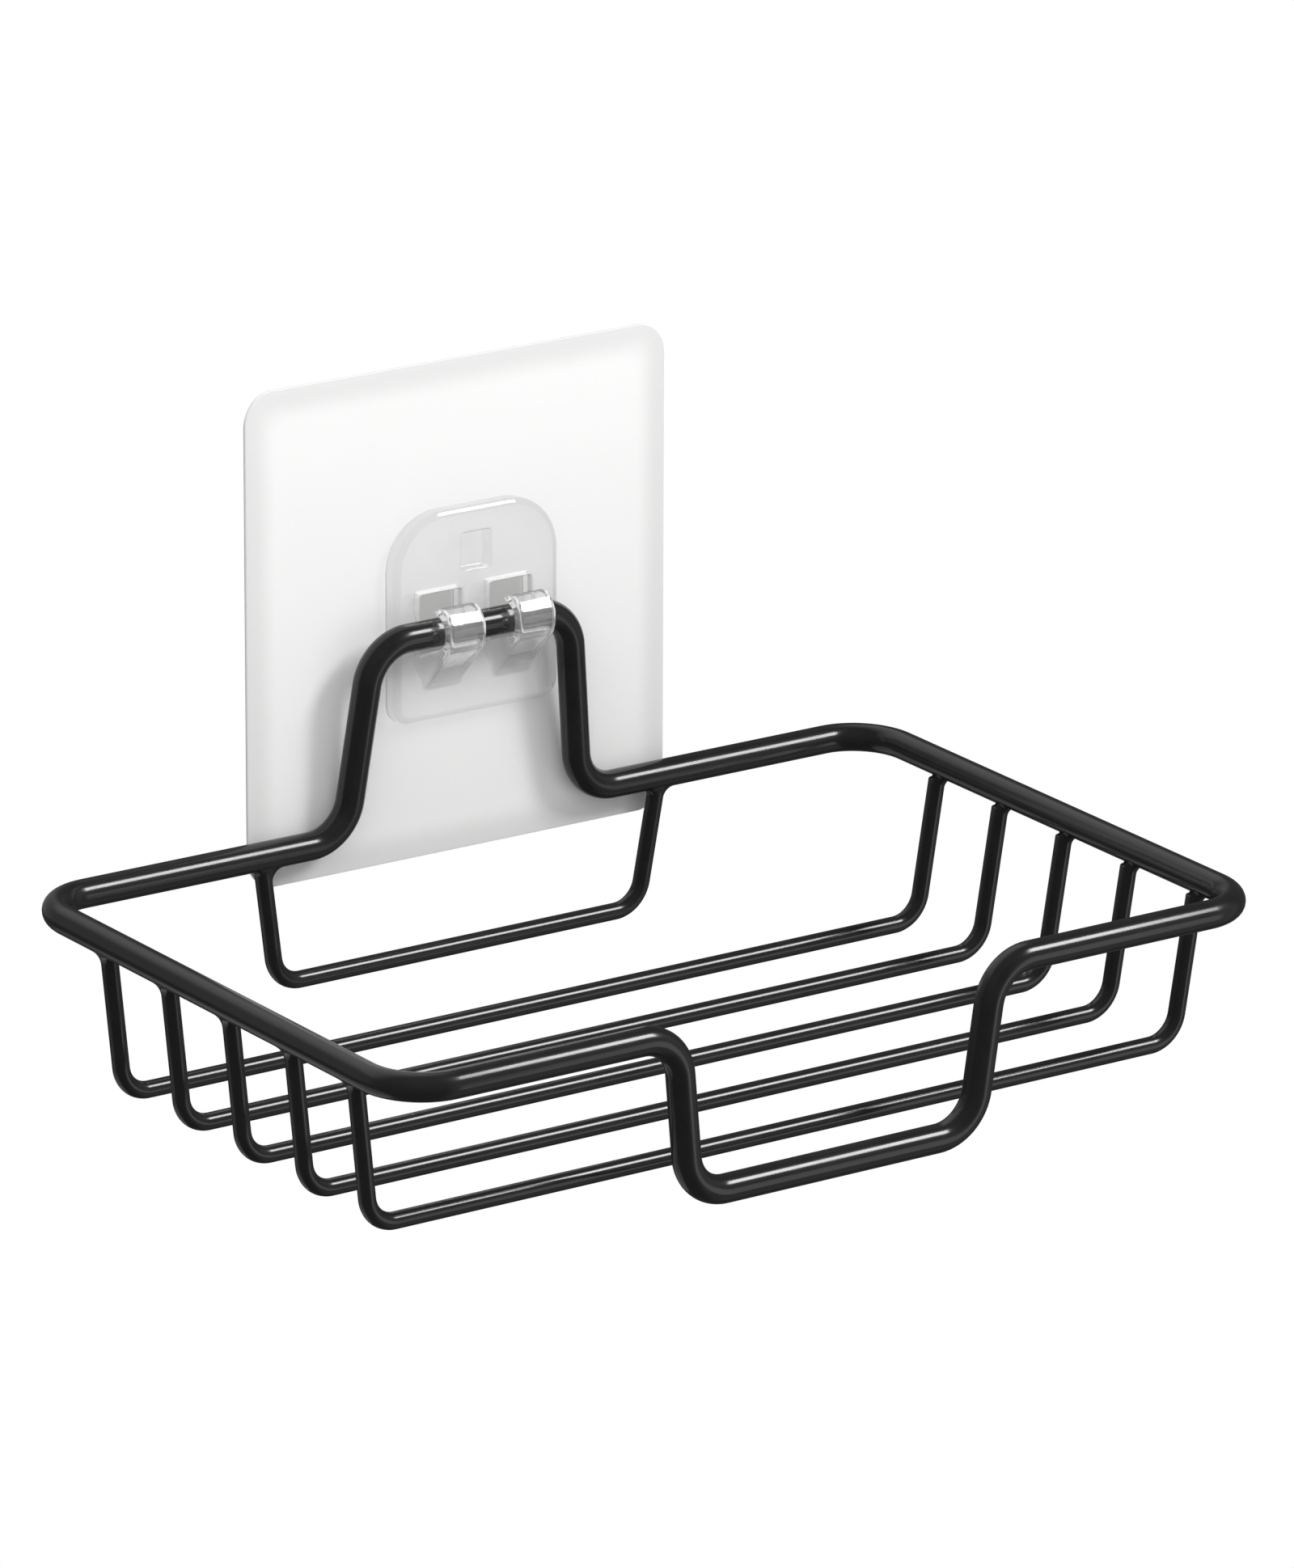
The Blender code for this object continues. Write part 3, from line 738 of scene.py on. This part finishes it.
def arcs_rise(arcs):
    """How far up a row of arcs ends above its start."""
    return sum(radius * (math.sin(math.radians(end)) - math.sin(math.radians(start)))
               for radius, start, end, steps in arcs)


def joined_arcs(start_point, arcs):
    """Points along arcs that follow each other without a corner."""
    points = [start_point]
    for radius, start, end, steps in arcs:
        angle = math.radians(start)
        centre = (points[-1][0] - radius * math.cos(angle),
                  points[-1][1] - radius * math.sin(angle))
        points += arc_points(centre, radius, start, end, steps)[1:]
    return points


def finger_outline():
    """Forward of the plate's front face, and up from the bar's centre."""
    bar_forward = -BAR_MIDDLE.y - HOOK_FRONT
    pocket = (bar_forward + POCKET_FORWARD, POCKET_RISE)
    front = pocket[0] + POCKET_RADIUS + FINGER_WALL
    head = ((BROW_RADIUS, 0.0, BROW_LOW_DEGREES, SLIGHT_STEPS),
            (BROW_SLANT_RADIUS, BROW_LOW_DEGREES, BROW_HIGH_DEGREES, SLIGHT_STEPS),
            (CROWN_RADIUS, BROW_HIGH_DEGREES, CROWN_DEGREES, FULL_STEPS))
    outline = arc_points(pocket, POCKET_RADIUS + FINGER_WALL, FINGER_BELLY_DEGREES, 0.0,
                         FULL_STEPS)
    tip = ((NAPE_RADIUS, CROWN_DEGREES, NAPE_DEGREES, SLIGHT_STEPS),
           (NOSE_RADIUS, NAPE_DEGREES, POCKET_TIP_DEGREES + 180.0, FULL_STEPS))
    outline += joined_arcs((front, FINGER_HEAD_RISE - arcs_rise(head)), head + tip)
    outline += arc_points(pocket, POCKET_RADIUS, POCKET_TIP_DEGREES, POCKET_FLOOR_DEGREES,
                          POCKET_STEPS)[1:]
    outline += [(-FINGER_ROOT_SINK, -FINGER_ROOT_TOP_DROP),
                (-FINGER_ROOT_SINK, -FINGER_ROOT_BOTTOM_DROP)]
    return outline


def make_finger(name, middle_x):
    bm = bmesh.new()
    rings = []
    for side in (-1.0, 1.0):
        x = middle_x + side * FINGER_WIDTH / 2.0
        rings.append([bm.verts.new((x, -HOOK_FRONT - forward, BAR_MIDDLE.z + rise))
                      for forward, rise in finger_outline()])
    bridge(bm, rings[0], rings[1])
    bm.faces.new(rings[0])
    bm.faces.new(rings[1])
    bmesh.ops.recalc_face_normals(bm, faces=bm.faces)
    finger = mesh_object(name, bm)
    rounding = finger.modifiers.new("rounding", "BEVEL")
    rounding.width = FINGER_EDGE_ROUND
    rounding.segments = FINGER_ROUND_SEGMENTS
    rounding.limit_method = "ANGLE"
    rounding.angle_limit = math.radians(FINGER_EDGE_DEGREES)
    return finger


def box_cutter(name, size, place):
    """A box whose top slopes up towards the wall."""
    bm = bmesh.new()
    bmesh.ops.create_cube(bm, size=1.0)
    bmesh.ops.scale(bm, vec=size, verts=bm.verts)
    bmesh.ops.translate(bm, vec=place, verts=bm.verts)
    for vert in bm.verts:
        if vert.co.z > place[2]:
            inward = vert.co.y + HOOK_FRONT
            vert.co.z += inward * math.tan(math.radians(DRAFT_DEGREES))
    return mesh_object(name, bm)


def add_boolean(obj, tool, operation):
    cut = obj.modifiers.new(tool.name, "BOOLEAN")
    cut.operation = operation
    cut.solver = "EXACT"
    cut.object = tool


# %% Join the hook and lay one skin over it
SKIN_VOXEL = 0.00016
SKIN_SMOOTHING = 6
SKIN_SMOOTHING_FACTOR = 0.5

hook = rounded_plate("hook_visual", HOOK_MIDDLE_X, HOOK_HALF, hook_low.z, hook_high.z,
                     HOOK_BOTTOM_RADIUS, HOOK_TOP_RADIUS, HOOK_BACK, HOOK_THICKNESS,
                     BEVEL_INSET, HOOK_BACK_ROUND, HOOK_ROUND_STEPS, BEVEL_DEPTH,
                     BEVEL_FULLNESS)
window_bottom = BAR_MIDDLE.z - FINGER_ROOT_TOP_DROP
window_half = FINGER_WIDTH / 2.0 + WINDOW_SIDE_ROOM
hook_tools = []
for middle in FINGER_MIDDLES:
    window = box_cutter("window_cutter",
                        (FINGER_WIDTH + 2.0 * WINDOW_SIDE_ROOM, HOOK_THICKNESS * 2.0,
                         WINDOW_TOP - window_bottom),
                        (middle, -HOOK_BACK - HOOK_THICKNESS / 2.0,
                         (WINDOW_TOP + window_bottom) / 2.0))
    add_boolean(hook, window, "DIFFERENCE")
    hook_tools.append(window)
recess = box_cutter("recess_cutter", (RECESS_WIDTH, RECESS_DEPTH * 2.0, RECESS_HEIGHT),
                    (FINGERS_MIDDLE_X, -HOOK_FRONT, RECESS_MIDDLE_Z))
add_boolean(hook, recess, "DIFFERENCE")
hook_tools.append(recess)
for side, middle in zip(("left", "right"), FINGER_MIDDLES):
    finger = make_finger("finger_" + side, middle)
    add_boolean(hook, finger, "UNION")
    hook_tools.append(finger)

skin = hook.modifiers.new("skin", "REMESH")
skin.mode = "VOXEL"
skin.voxel_size = SKIN_VOXEL
soften = hook.modifiers.new("soften", "SMOOTH")
soften.factor = SKIN_SMOOTHING_FACTOR
soften.iterations = SKIN_SMOOTHING
bpy.context.view_layer.update()
graph = bpy.context.evaluated_depsgraph_get()
hook_mesh = bpy.data.meshes.new_from_object(hook.evaluated_get(graph))
hook.modifiers.clear()
hook.data = hook_mesh
for tool in hook_tools:
    bpy.data.objects.remove(tool, do_unlink=True)
hook_mesh.shade_smooth()
print("hook faces:", len(hook_mesh.polygons))

# %% [markdown]
# ## Clear plastic
# The moulding is water-clear with a faint cool tint. Glass in Blender is a Principled
# shader with full transmission. Its surface isn't optically flat: slow flow waves from
# the moulding bend what is seen through it, so a low bump with a large scale goes on it.
# Light from lamps has to reach the sheet behind it, and so has the light that dull
# surfaces gather. Both pass straight through, a little less where a face is a side wall.
#
# Two parts of the same mesh look different. The back is joined to the white sheet and
# shows through the plastic as a dull white bond. The tops of the cavities, and the right
# walls of the windows, are matt and stand out as light grey.

# %% Material for the hook
WALL_FACING = 0.30  # |Y| of the normal under which a face is a side wall
FRONT_FACING = 0.75
WALL_LETS_THROUGH = 0.90
BOND_FACING = 0.90
MATT_FACING = 0.60
MATT_REACH = 0.0004
MATT_SIDE_DEPTH = 0.0010


LAMPS_SHARE = 0.95  # how much of such light goes through


def let_lamps_through(tree, shader):
    """Let light of lamps and dull surfaces pass straight, less through side walls."""
    path = tree.nodes.new("ShaderNodeLightPath")
    face = tree.nodes.new("ShaderNodeNewGeometry")
    normal = split_vector(tree, face.outputs["Normal"])
    facing = math_node(tree, "ABSOLUTE", normal["Y"], 0.0)
    open_face = map_range(tree, facing, WALL_FACING, FRONT_FACING, WALL_LETS_THROUGH, 1.0)
    gathered = math_node(tree, "MINIMUM", path.outputs["Diffuse Depth"], 1.0)
    lights = math_node(tree, "MAXIMUM", path.outputs["Is Shadow Ray"], gathered)
    passes = math_node(tree, "MULTIPLY", lights, open_face)
    clear = tree.nodes.new("ShaderNodeBsdfTransparent")
    clear.inputs["Color"].default_value = (LAMPS_SHARE, LAMPS_SHARE, LAMPS_SHARE, 1.0)
    mix = tree.nodes.new("ShaderNodeMixShader")
    tree.links.new(passes, mix.inputs["Fac"])
    tree.links.new(shader.outputs["BSDF"], mix.inputs[1])
    tree.links.new(clear.outputs["BSDF"], mix.inputs[2])
    tree.links.new(mix.outputs["Shader"], tree.nodes["Material Output"].inputs["Surface"])


def make_clear_plastic():
    material, tree, shader, grain = grained_material(
        "clear_moulding", 230.0, 900.0, 0.10, (0.935, 0.93, 0.94), (0.96, 0.955, 0.965))
    add_gloss(tree, shader, grain, 0.05, 0.10)
    shader.inputs["IOR"].default_value = 1.49
    shader.inputs["Transmission Weight"].default_value = 0.92
    add_bump(tree, shader, grain.outputs["Height"], 0.00006)
    let_lamps_through(tree, shader)
    return material


def make_bond():
    """The hook's back, joined to the sheet: dull white seen through the plastic."""
    material, tree, shader, grain = grained_material(
        "hook_bond", 140.0, 2400.0, 0.4, (0.775, 0.772, 0.767), (0.81, 0.807, 0.802))
    shader.inputs["Roughness"].default_value = 0.12
    return material


def make_matt_wall():
    """A cavity's wall, which the mould leaves matt: it scatters light and looks white."""
    material, tree, shader, grain = grained_material(
        "matt_wall", 300.0, 3000.0, 0.4, (0.77, 0.77, 0.77), (0.83, 0.83, 0.83))
    shader.inputs["Roughness"].default_value = 0.45
    let_lamps_through(tree, shader)
    return material


hook_mesh.materials.clear()
hook_mesh.materials.append(make_clear_plastic())
hook_mesh.materials.append(make_bond())
hook_mesh.materials.append(make_matt_wall())
bonded = [face for face in hook_mesh.polygons if face.normal.y > BOND_FACING
          and face.center.y > -HOOK_BACK - HOOK_EDGE_ROUND / 2.0]
for face in bonded:
    face.material_index = 1
print("bonded faces:", len(bonded))
matt_tops, matt_sides = 0, 0
cavities = [(middle, window_half, WINDOW_TOP, window_bottom, True)
            for middle in FINGER_MIDDLES]
cavities.append((FINGERS_MIDDLE_X, RECESS_WIDTH / 2.0,
                 RECESS_MIDDLE_Z + RECESS_HEIGHT / 2.0,
                 RECESS_MIDDLE_Z - RECESS_HEIGHT / 2.0, False))
for middle_x, half, top, bottom, side_is_matt in cavities:
    for face in hook_mesh.polygons:
        spot, facing = face.center, face.normal
        if abs(spot.x - middle_x) > half + MATT_REACH or not -HOOK_FRONT < spot.y:
            continue
        if facing.z < -MATT_FACING and abs(spot.z - top) < MATT_REACH:
            face.material_index = 2
            matt_tops += 1
        elif (side_is_matt and facing.x < -MATT_FACING
              and abs(spot.x - middle_x - half) < MATT_REACH
              and bottom < spot.z < top and spot.y < -HOOK_FRONT + MATT_SIDE_DEPTH):
            face.material_index = 2
            matt_sides += 1
print("matt faces on tops and sides:", matt_tops, matt_sides)
finish_piece(hook, "wall_unit", "clear_plastic", "hook_plate")

# %% [markdown]
# ## Frosted sheet
# The sheet is a thin square of frosted plastic, held to the wall by gel. It is whiter in
# the middle, with a softer and greyer border along its edge that is painted shade. The
# border is the same distance from the edge all round, so the material measures that
# distance from Object coordinates: the larger of |x| and |z|. Behind the hook's windows
# the sheet is painted darker, as shade for the light the bar, fingers and walls hold back.

# %% Sheet with a rounded rim
SHEET_CORNER_RADIUS = 0.0045
SHEET_ROUND = 0.00012
RIM_STEPS = 4


def square_plate(name, low, high, front_round, back_round):
    """A square plate that fills a box, with rounded rims."""
    plate = rounded_plate(name, (high.x + low.x) / 2.0, (high.x - low.x) / 2.0, low.z,
                          high.z, SHEET_CORNER_RADIUS, SHEET_CORNER_RADIUS, -high.y,
                          high.y - low.y, front_round, back_round, RIM_STEPS)
    plate.data.shade_smooth()
    plate.data.set_sharp_from_angle(angle=math.radians(CAP_DEGREES))
    return plate


sheet_low, sheet_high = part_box("backing_sheet")
sheet_half = (sheet_high.x - sheet_low.x) / 2.0
sheet = square_plate("backing_sheet_visual", sheet_low, sheet_high, SHEET_ROUND,
                     SHEET_ROUND)

# %% Material for the sheet
BORDER_WIDTH = 0.0052
BORDER_EDGE_SHARE = 0.25  # of its width, the rim that is all border
SHADE_SOFT = 0.0004


def edge_distance(tree, place, half):
    """How far a point lies inside a square's edge, from Object coordinates."""
    parts = split_vector(tree, place.outputs["Object"])
    larger = tree.nodes.new("ShaderNodeMath")
    larger.operation = "SMOOTH_MAX"
    larger.inputs[2].default_value = SHEET_CORNER_RADIUS
    for i, axis in enumerate(("X", "Z")):
        size = math_node(tree, "ABSOLUTE", parts[axis], 0.0)
        tree.links.new(size, larger.inputs[i])
    return math_node(tree, "SUBTRACT", half, larger.outputs["Value"])


def window_shade(tree, place):
    """1 on the sheet behind the hook's windows, where shade is painted on it."""
    parts = split_vector(tree, place.outputs["Object"])
    across = math_node(tree, "SUBTRACT", parts["X"], FINGERS_MIDDLE_X)
    across = math_node(tree, "ABSOLUTE", across, 0.0)
    across = math_node(tree, "SUBTRACT", across, FINGER_PITCH / 2.0)
    across = math_node(tree, "ABSOLUTE", across, 0.0)
    up = math_node(tree, "SUBTRACT", parts["Z"], (WINDOW_TOP + window_bottom) / 2.0)
    up = math_node(tree, "ABSOLUTE", up, 0.0)
    inside_x, inside_z = (
        map_range(tree, distance, half - SHADE_SOFT, half + SHADE_SOFT, 1.0, 0.0, True)
        for distance, half in ((across, window_half),
                               (up, (WINDOW_TOP - window_bottom) / 2.0)))
    return math_node(tree, "MULTIPLY", inside_x, inside_z)


def make_frosted():
    material, tree, shader, place = new_material("frosted_sheet")
    grain = add_grain(tree, place, 90.0, 3500.0, 0.6)
    distance = edge_distance(tree, place, sheet_half)
    # The greyer border along the sheet's edge is painted shade.
    border = map_range(tree, distance, BORDER_WIDTH * BORDER_EDGE_SHARE, BORDER_WIDTH,
                       0.0, 1.0, True)
    body = mix_colors(tree, border, (0.785, 0.785, 0.782), (0.912, 0.912, 0.908))
    speck = mix_colors(tree, grain.outputs["Mask"], (0.975, 0.975, 0.975),
                       (1.0, 1.0, 1.0))
    tint = tree.nodes.new("ShaderNodeMix")
    tint.data_type = "RGBA"
    tint.blend_type = "MULTIPLY"
    tint.inputs["Factor"].default_value = 1.0
    tree.links.new(body.outputs["Result"], tint.inputs["A"])
    tree.links.new(speck.outputs["Result"], tint.inputs["B"])
    # Behind the windows the colour is darkened: painted shade for the light that the bar,
    # the fingers and the window's walls hold back.
    shaded = mix_colors(tree, window_shade(tree, place), (0.0, 0.0, 0.0),
                        (0.56, 0.555, 0.55))
    tree.links.new(tint.outputs["Result"], shaded.inputs["A"])
    tree.links.new(shaded.outputs["Result"], shader.inputs["Base Color"])
    add_gloss(tree, shader, grain, 0.42, 0.55)
    add_bump(tree, shader, grain.outputs["Height"], 0.00001)
    return material


sheet.data.materials.append(make_frosted())
finish_piece(sheet, "wall_unit", "frosted_plastic", "backing_sheet")

# %% [markdown]
# ## Sticky gel
# Behind the sheet lies a thin pad of clear gel, seen only at its edge and from the back.
# Its shape in the frame is right, but a soft rim suits it better, so it is made as the
# sheet is. Small trapped bubbles show as spots in its gloss.

# %% Gel pad and its material
GEL_ROUND = 0.0002
pad_low, pad_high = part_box("adhesive_pad")
pad = square_plate("adhesive_pad_visual", pad_low, pad_high, GEL_ROUND, GEL_ROUND / 4.0)


def make_gel():
    material, tree, shader, grain = grained_material(
        "sticky_gel", 220.0, 1800.0, 0.35, (0.86, 0.87, 0.86), (0.93, 0.93, 0.91))
    add_gloss(tree, shader, grain, 0.12, 0.30)
    shader.inputs["Transmission Weight"].default_value = 0.5
    shader.inputs["IOR"].default_value = 1.42
    add_bump(tree, shader, grain.outputs["Height"], 0.00003)
    return material


pad.data.materials.append(make_gel())
finish_piece(pad, "wall_unit", "clear_gel", "adhesive_pad")

# %% [markdown]
# ## Floor, studio and lamp
# The object hangs in a white studio: a round pale floor below it, white behind, one
# tall soft box high on the right and a white card low on the right. A silk close above,
# on the left, lights dull surfaces and isn't mirrored in anything. On a glossy black
# wire the shape of a lamp is what is seen. A wire that runs left and right shows each
# lamp as a streak along it, as wide as the lamp is tall, and the streak ends where the
# wire bends away.

# %% Floor
FLOOR_DROP = 0.50
FLOOR_RADIUS = 0.42
FLOOR_MIDDLE = (-0.42, 0.42)  # where the soft box throws the object's shadow
FLOOR_SIDES = 128
FLOOR_GLOW = 0.6  # only the camera sees it; it keeps lit paper white


def make_floor():
    bm = bmesh.new()
    bmesh.ops.create_circle(bm, cap_ends=True, segments=FLOOR_SIDES, radius=FLOOR_RADIUS)
    bmesh.ops.translate(bm, vec=(*FLOOR_MIDDLE, cad_low.z - FLOOR_DROP), verts=bm.verts)
    floor = mesh_object("studio_floor", bm)
    material, tree, shader, grain = grained_material(
        "floor_paper", 3.0, 60.0, 0.3, (0.88, 0.88, 0.88), (0.90, 0.90, 0.90))
    shader.inputs["Roughness"].default_value = 0.9
    path = tree.nodes.new("ShaderNodeLightPath")
    glow = map_range(tree, path.outputs["Is Camera Ray"], 0.0, 1.0, 0.0, FLOOR_GLOW)
    shader.inputs["Emission Color"].default_value = (1.0, 1.0, 1.0, 1.0)
    tree.links.new(glow, shader.inputs["Emission Strength"])
    floor.data.materials.append(material)


make_floor()

# %% World
STUDIO_FILL = 0.46  # what lights dull surfaces from all round
STUDIO_DIM = 0.075  # what a glossy surface sees away from backdrop and front
STUDIO_FRONT = 0.24  # the grey room in front, on the right
BACKDROP_LOW = 0.24  # the backdrop's brightness low down
BACKDROP_RISE = 0.76  # and what it gains high up
# Each part of the studio fades between two values of a direction's X, Y or Z.
BEHIND_Y = (0.0, 0.5)
LOW_Z = (-0.25, -0.10)
HIGH_Z = (0.45, 0.70)
BESIDE_X = (0.35, 0.60)
BEFORE_Y = (-0.30, 0.05)
RIGHT_X = (0.10, 0.45)
SOFT_BOX_DIRECTION = Vector((0.565, -0.510, 0.648)).normalized()
SOFT_BOX_BRIGHTNESS = 23.0
SOFT_BOX_HALF_DEGREES = 10.0
DISC_RIM = (1.2, 0.8)  # where the disc's rim starts and ends, as shares of that


def mix_values(tree, factor, first, second):
    node = tree.nodes.new("ShaderNodeMix")
    node.data_type = "FLOAT"
    for name, value in (("Factor", factor), ("A", first), ("B", second)):
        if isinstance(value, float):
            node.inputs[name].default_value = value
        else:
            tree.links.new(value, node.inputs[name])
    return node.outputs["Result"]


def make_world():
    """White to the camera and clear plastic, with a white backdrop in reflections."""
    world = bpy.data.worlds.new("studio")
    bpy.context.scene.world = world
    world.use_nodes = True
    tree = world.node_tree
    place = tree.nodes.new("ShaderNodeTexCoord")
    parts = split_vector(tree, place.outputs["Generated"])
    behind = map_range(tree, parts["Y"], *BEHIND_Y, 0.0, 1.0, True)
    low = map_range(tree, parts["Z"], *LOW_Z, 0.0, BACKDROP_LOW, True)
    high = map_range(tree, parts["Z"], *HIGH_Z, 0.0, BACKDROP_RISE, True)
    beside = map_range(tree, parts["X"], *BESIDE_X, 1.0, 0.0, True)
    above = math_node(tree, "ADD", low, high)
    backdrop = math_node(tree, "MULTIPLY", behind, above)
    backdrop = math_node(tree, "MULTIPLY", backdrop, beside)
    before = map_range(tree, parts["Y"], *BEFORE_Y, 1.0, 0.0, True)
    right = map_range(tree, parts["X"], *RIGHT_X, 0.0, STUDIO_FRONT, True)
    front = math_node(tree, "MULTIPLY", before, right)
    white = math_node(tree, "ADD", backdrop, front)
    mirrored = mix_values(tree, white, STUDIO_DIM, 1.0)
    path = tree.nodes.new("ShaderNodeLightPath")
    level = mix_values(tree, path.outputs["Is Glossy Ray"], STUDIO_FILL, mirrored)
    # The camera, and what it sees through clear plastic, meet plain white. The fill
    # already reaches dull surfaces straight through the plastic, so what they would
    # gather by bent rays as well is left out, or it would count twice.
    gathered = math_node(tree, "MINIMUM", path.outputs["Diffuse Depth"], 1.0)
    through = math_node(tree, "SUBTRACT", path.outputs["Is Transmission Ray"], gathered)
    seen = math_node(tree, "MAXIMUM", path.outputs["Is Camera Ray"], through)
    level = mix_values(tree, seen, level, 1.0)
    twice = math_node(tree, "MULTIPLY", path.outputs["Is Transmission Ray"], gathered)
    level = mix_values(tree, twice, level, 0.0)
    # Clear plastic shows the soft box too, as a bright disc in the lamp's direction.
    toward = tree.nodes.new("ShaderNodeVectorMath")
    toward.operation = "DOT_PRODUCT"
    toward.inputs[1].default_value = SOFT_BOX_DIRECTION
    tree.links.new(place.outputs["Generated"], toward.inputs[0])
    rim = [math.cos(math.radians(SOFT_BOX_HALF_DEGREES * share)) for share in DISC_RIM]
    disc = map_range(tree, toward.outputs["Value"], *rim, 0.0, 1.0)
    disc = math_node(tree, "MULTIPLY", disc, through)
    tree.links.new(mix_values(tree, disc, level, SOFT_BOX_BRIGHTNESS),
                   tree.nodes["Background"].inputs["Color"])


make_world()

# %% Lamps
LAMP_DISTANCE = 0.9
SOFT_BOX_SIZE = (0.22, 0.31)
CARD_DIRECTION = (0.575, -0.775, -0.25)
CARD_SIZE = (0.30, 0.49)
CARD_BRIGHTNESS = 1.05
SILK_DIRECTION = (-0.55, -0.40, 0.73)
SILK_SIZE = (0.36, 0.36)
SILK_BRIGHTNESS = 1.45
SILK_DISTANCE = 0.30


def make_lamp(name, direction, up, size, brightness, distance=LAMP_DISTANCE):
    """A rectangular lamp of a given brightness that faces the object's middle."""
    width, height = size
    data = bpy.data.lights.new(name, "AREA")
    data.shape = "RECTANGLE"
    data.size = width
    data.size_y = height
    data.energy = brightness * math.pi * width * height
    lamp = link(bpy.data.objects.new(name, data))
    back = Vector(direction).normalized()
    right = Vector(up).cross(back).normalized()
    turn = Matrix((right, back.cross(right), back)).transposed()
    lamp.matrix_world = Matrix.Translation((cad_low + cad_high) / 2.0
                                           + back * distance) @ turn.to_4x4()
    lamp.visible_camera = False
    lamp.visible_transmission = False
    return lamp


make_lamp("soft_box", SOFT_BOX_DIRECTION, (0.0, 0.785, 0.620), SOFT_BOX_SIZE,
          SOFT_BOX_BRIGHTNESS)
make_lamp("white_card", CARD_DIRECTION, (0.0, 0.0, 1.0), CARD_SIZE, CARD_BRIGHTNESS)
silk = make_lamp("overhead_silk", SILK_DIRECTION, (0.0, 1.0, 0.0), SILK_SIZE,
                 SILK_BRIGHTNESS, SILK_DISTANCE)
silk.visible_glossy = False

# %% [markdown]
# ## Camera
# The picture was taken with a long lens from the left and a little above. Its angles and
# focal length are set from the directions in which the rails run in the picture.

# %% Camera
CAMERA_AZIMUTH = -36.22
CAMERA_ELEVATION = 16.8
CAMERA_ROLL = 0.17
CAMERA_DISTANCE = 1.5471
CAMERA_TARGET = Vector((0.00383, -0.040, -0.01688))
CAMERA_LENS = 318.56
SENSOR_WIDTH = 36.0
CLIP_START, CLIP_END = 0.05, 20.0


def make_camera():
    data = bpy.data.cameras.new("camera")
    data.sensor_fit = "HORIZONTAL"
    data.sensor_width = SENSOR_WIDTH
    data.lens = CAMERA_LENS
    data.clip_start = CLIP_START
    data.clip_end = CLIP_END
    camera = link(bpy.data.objects.new("camera", data))
    a, e = math.radians(CAMERA_AZIMUTH), math.radians(CAMERA_ELEVATION)
    back = Vector((math.sin(a) * math.cos(e), -math.cos(a) * math.cos(e), math.sin(e)))
    camera.location = CAMERA_TARGET + back * CAMERA_DISTANCE
    turn = (-back).to_track_quat("-Z", "Y").to_matrix()
    roll = math.radians(CAMERA_ROLL)
    right = turn.col[0] * math.cos(roll) + turn.col[1] * math.sin(roll)
    up = turn.col[1] * math.cos(roll) - turn.col[0] * math.sin(roll)
    turn.col[0], turn.col[1] = right, up
    camera.rotation_euler = turn.to_euler()
    bpy.context.scene.camera = camera


make_camera()
bpy.context.scene.view_settings.view_transform = "Standard"
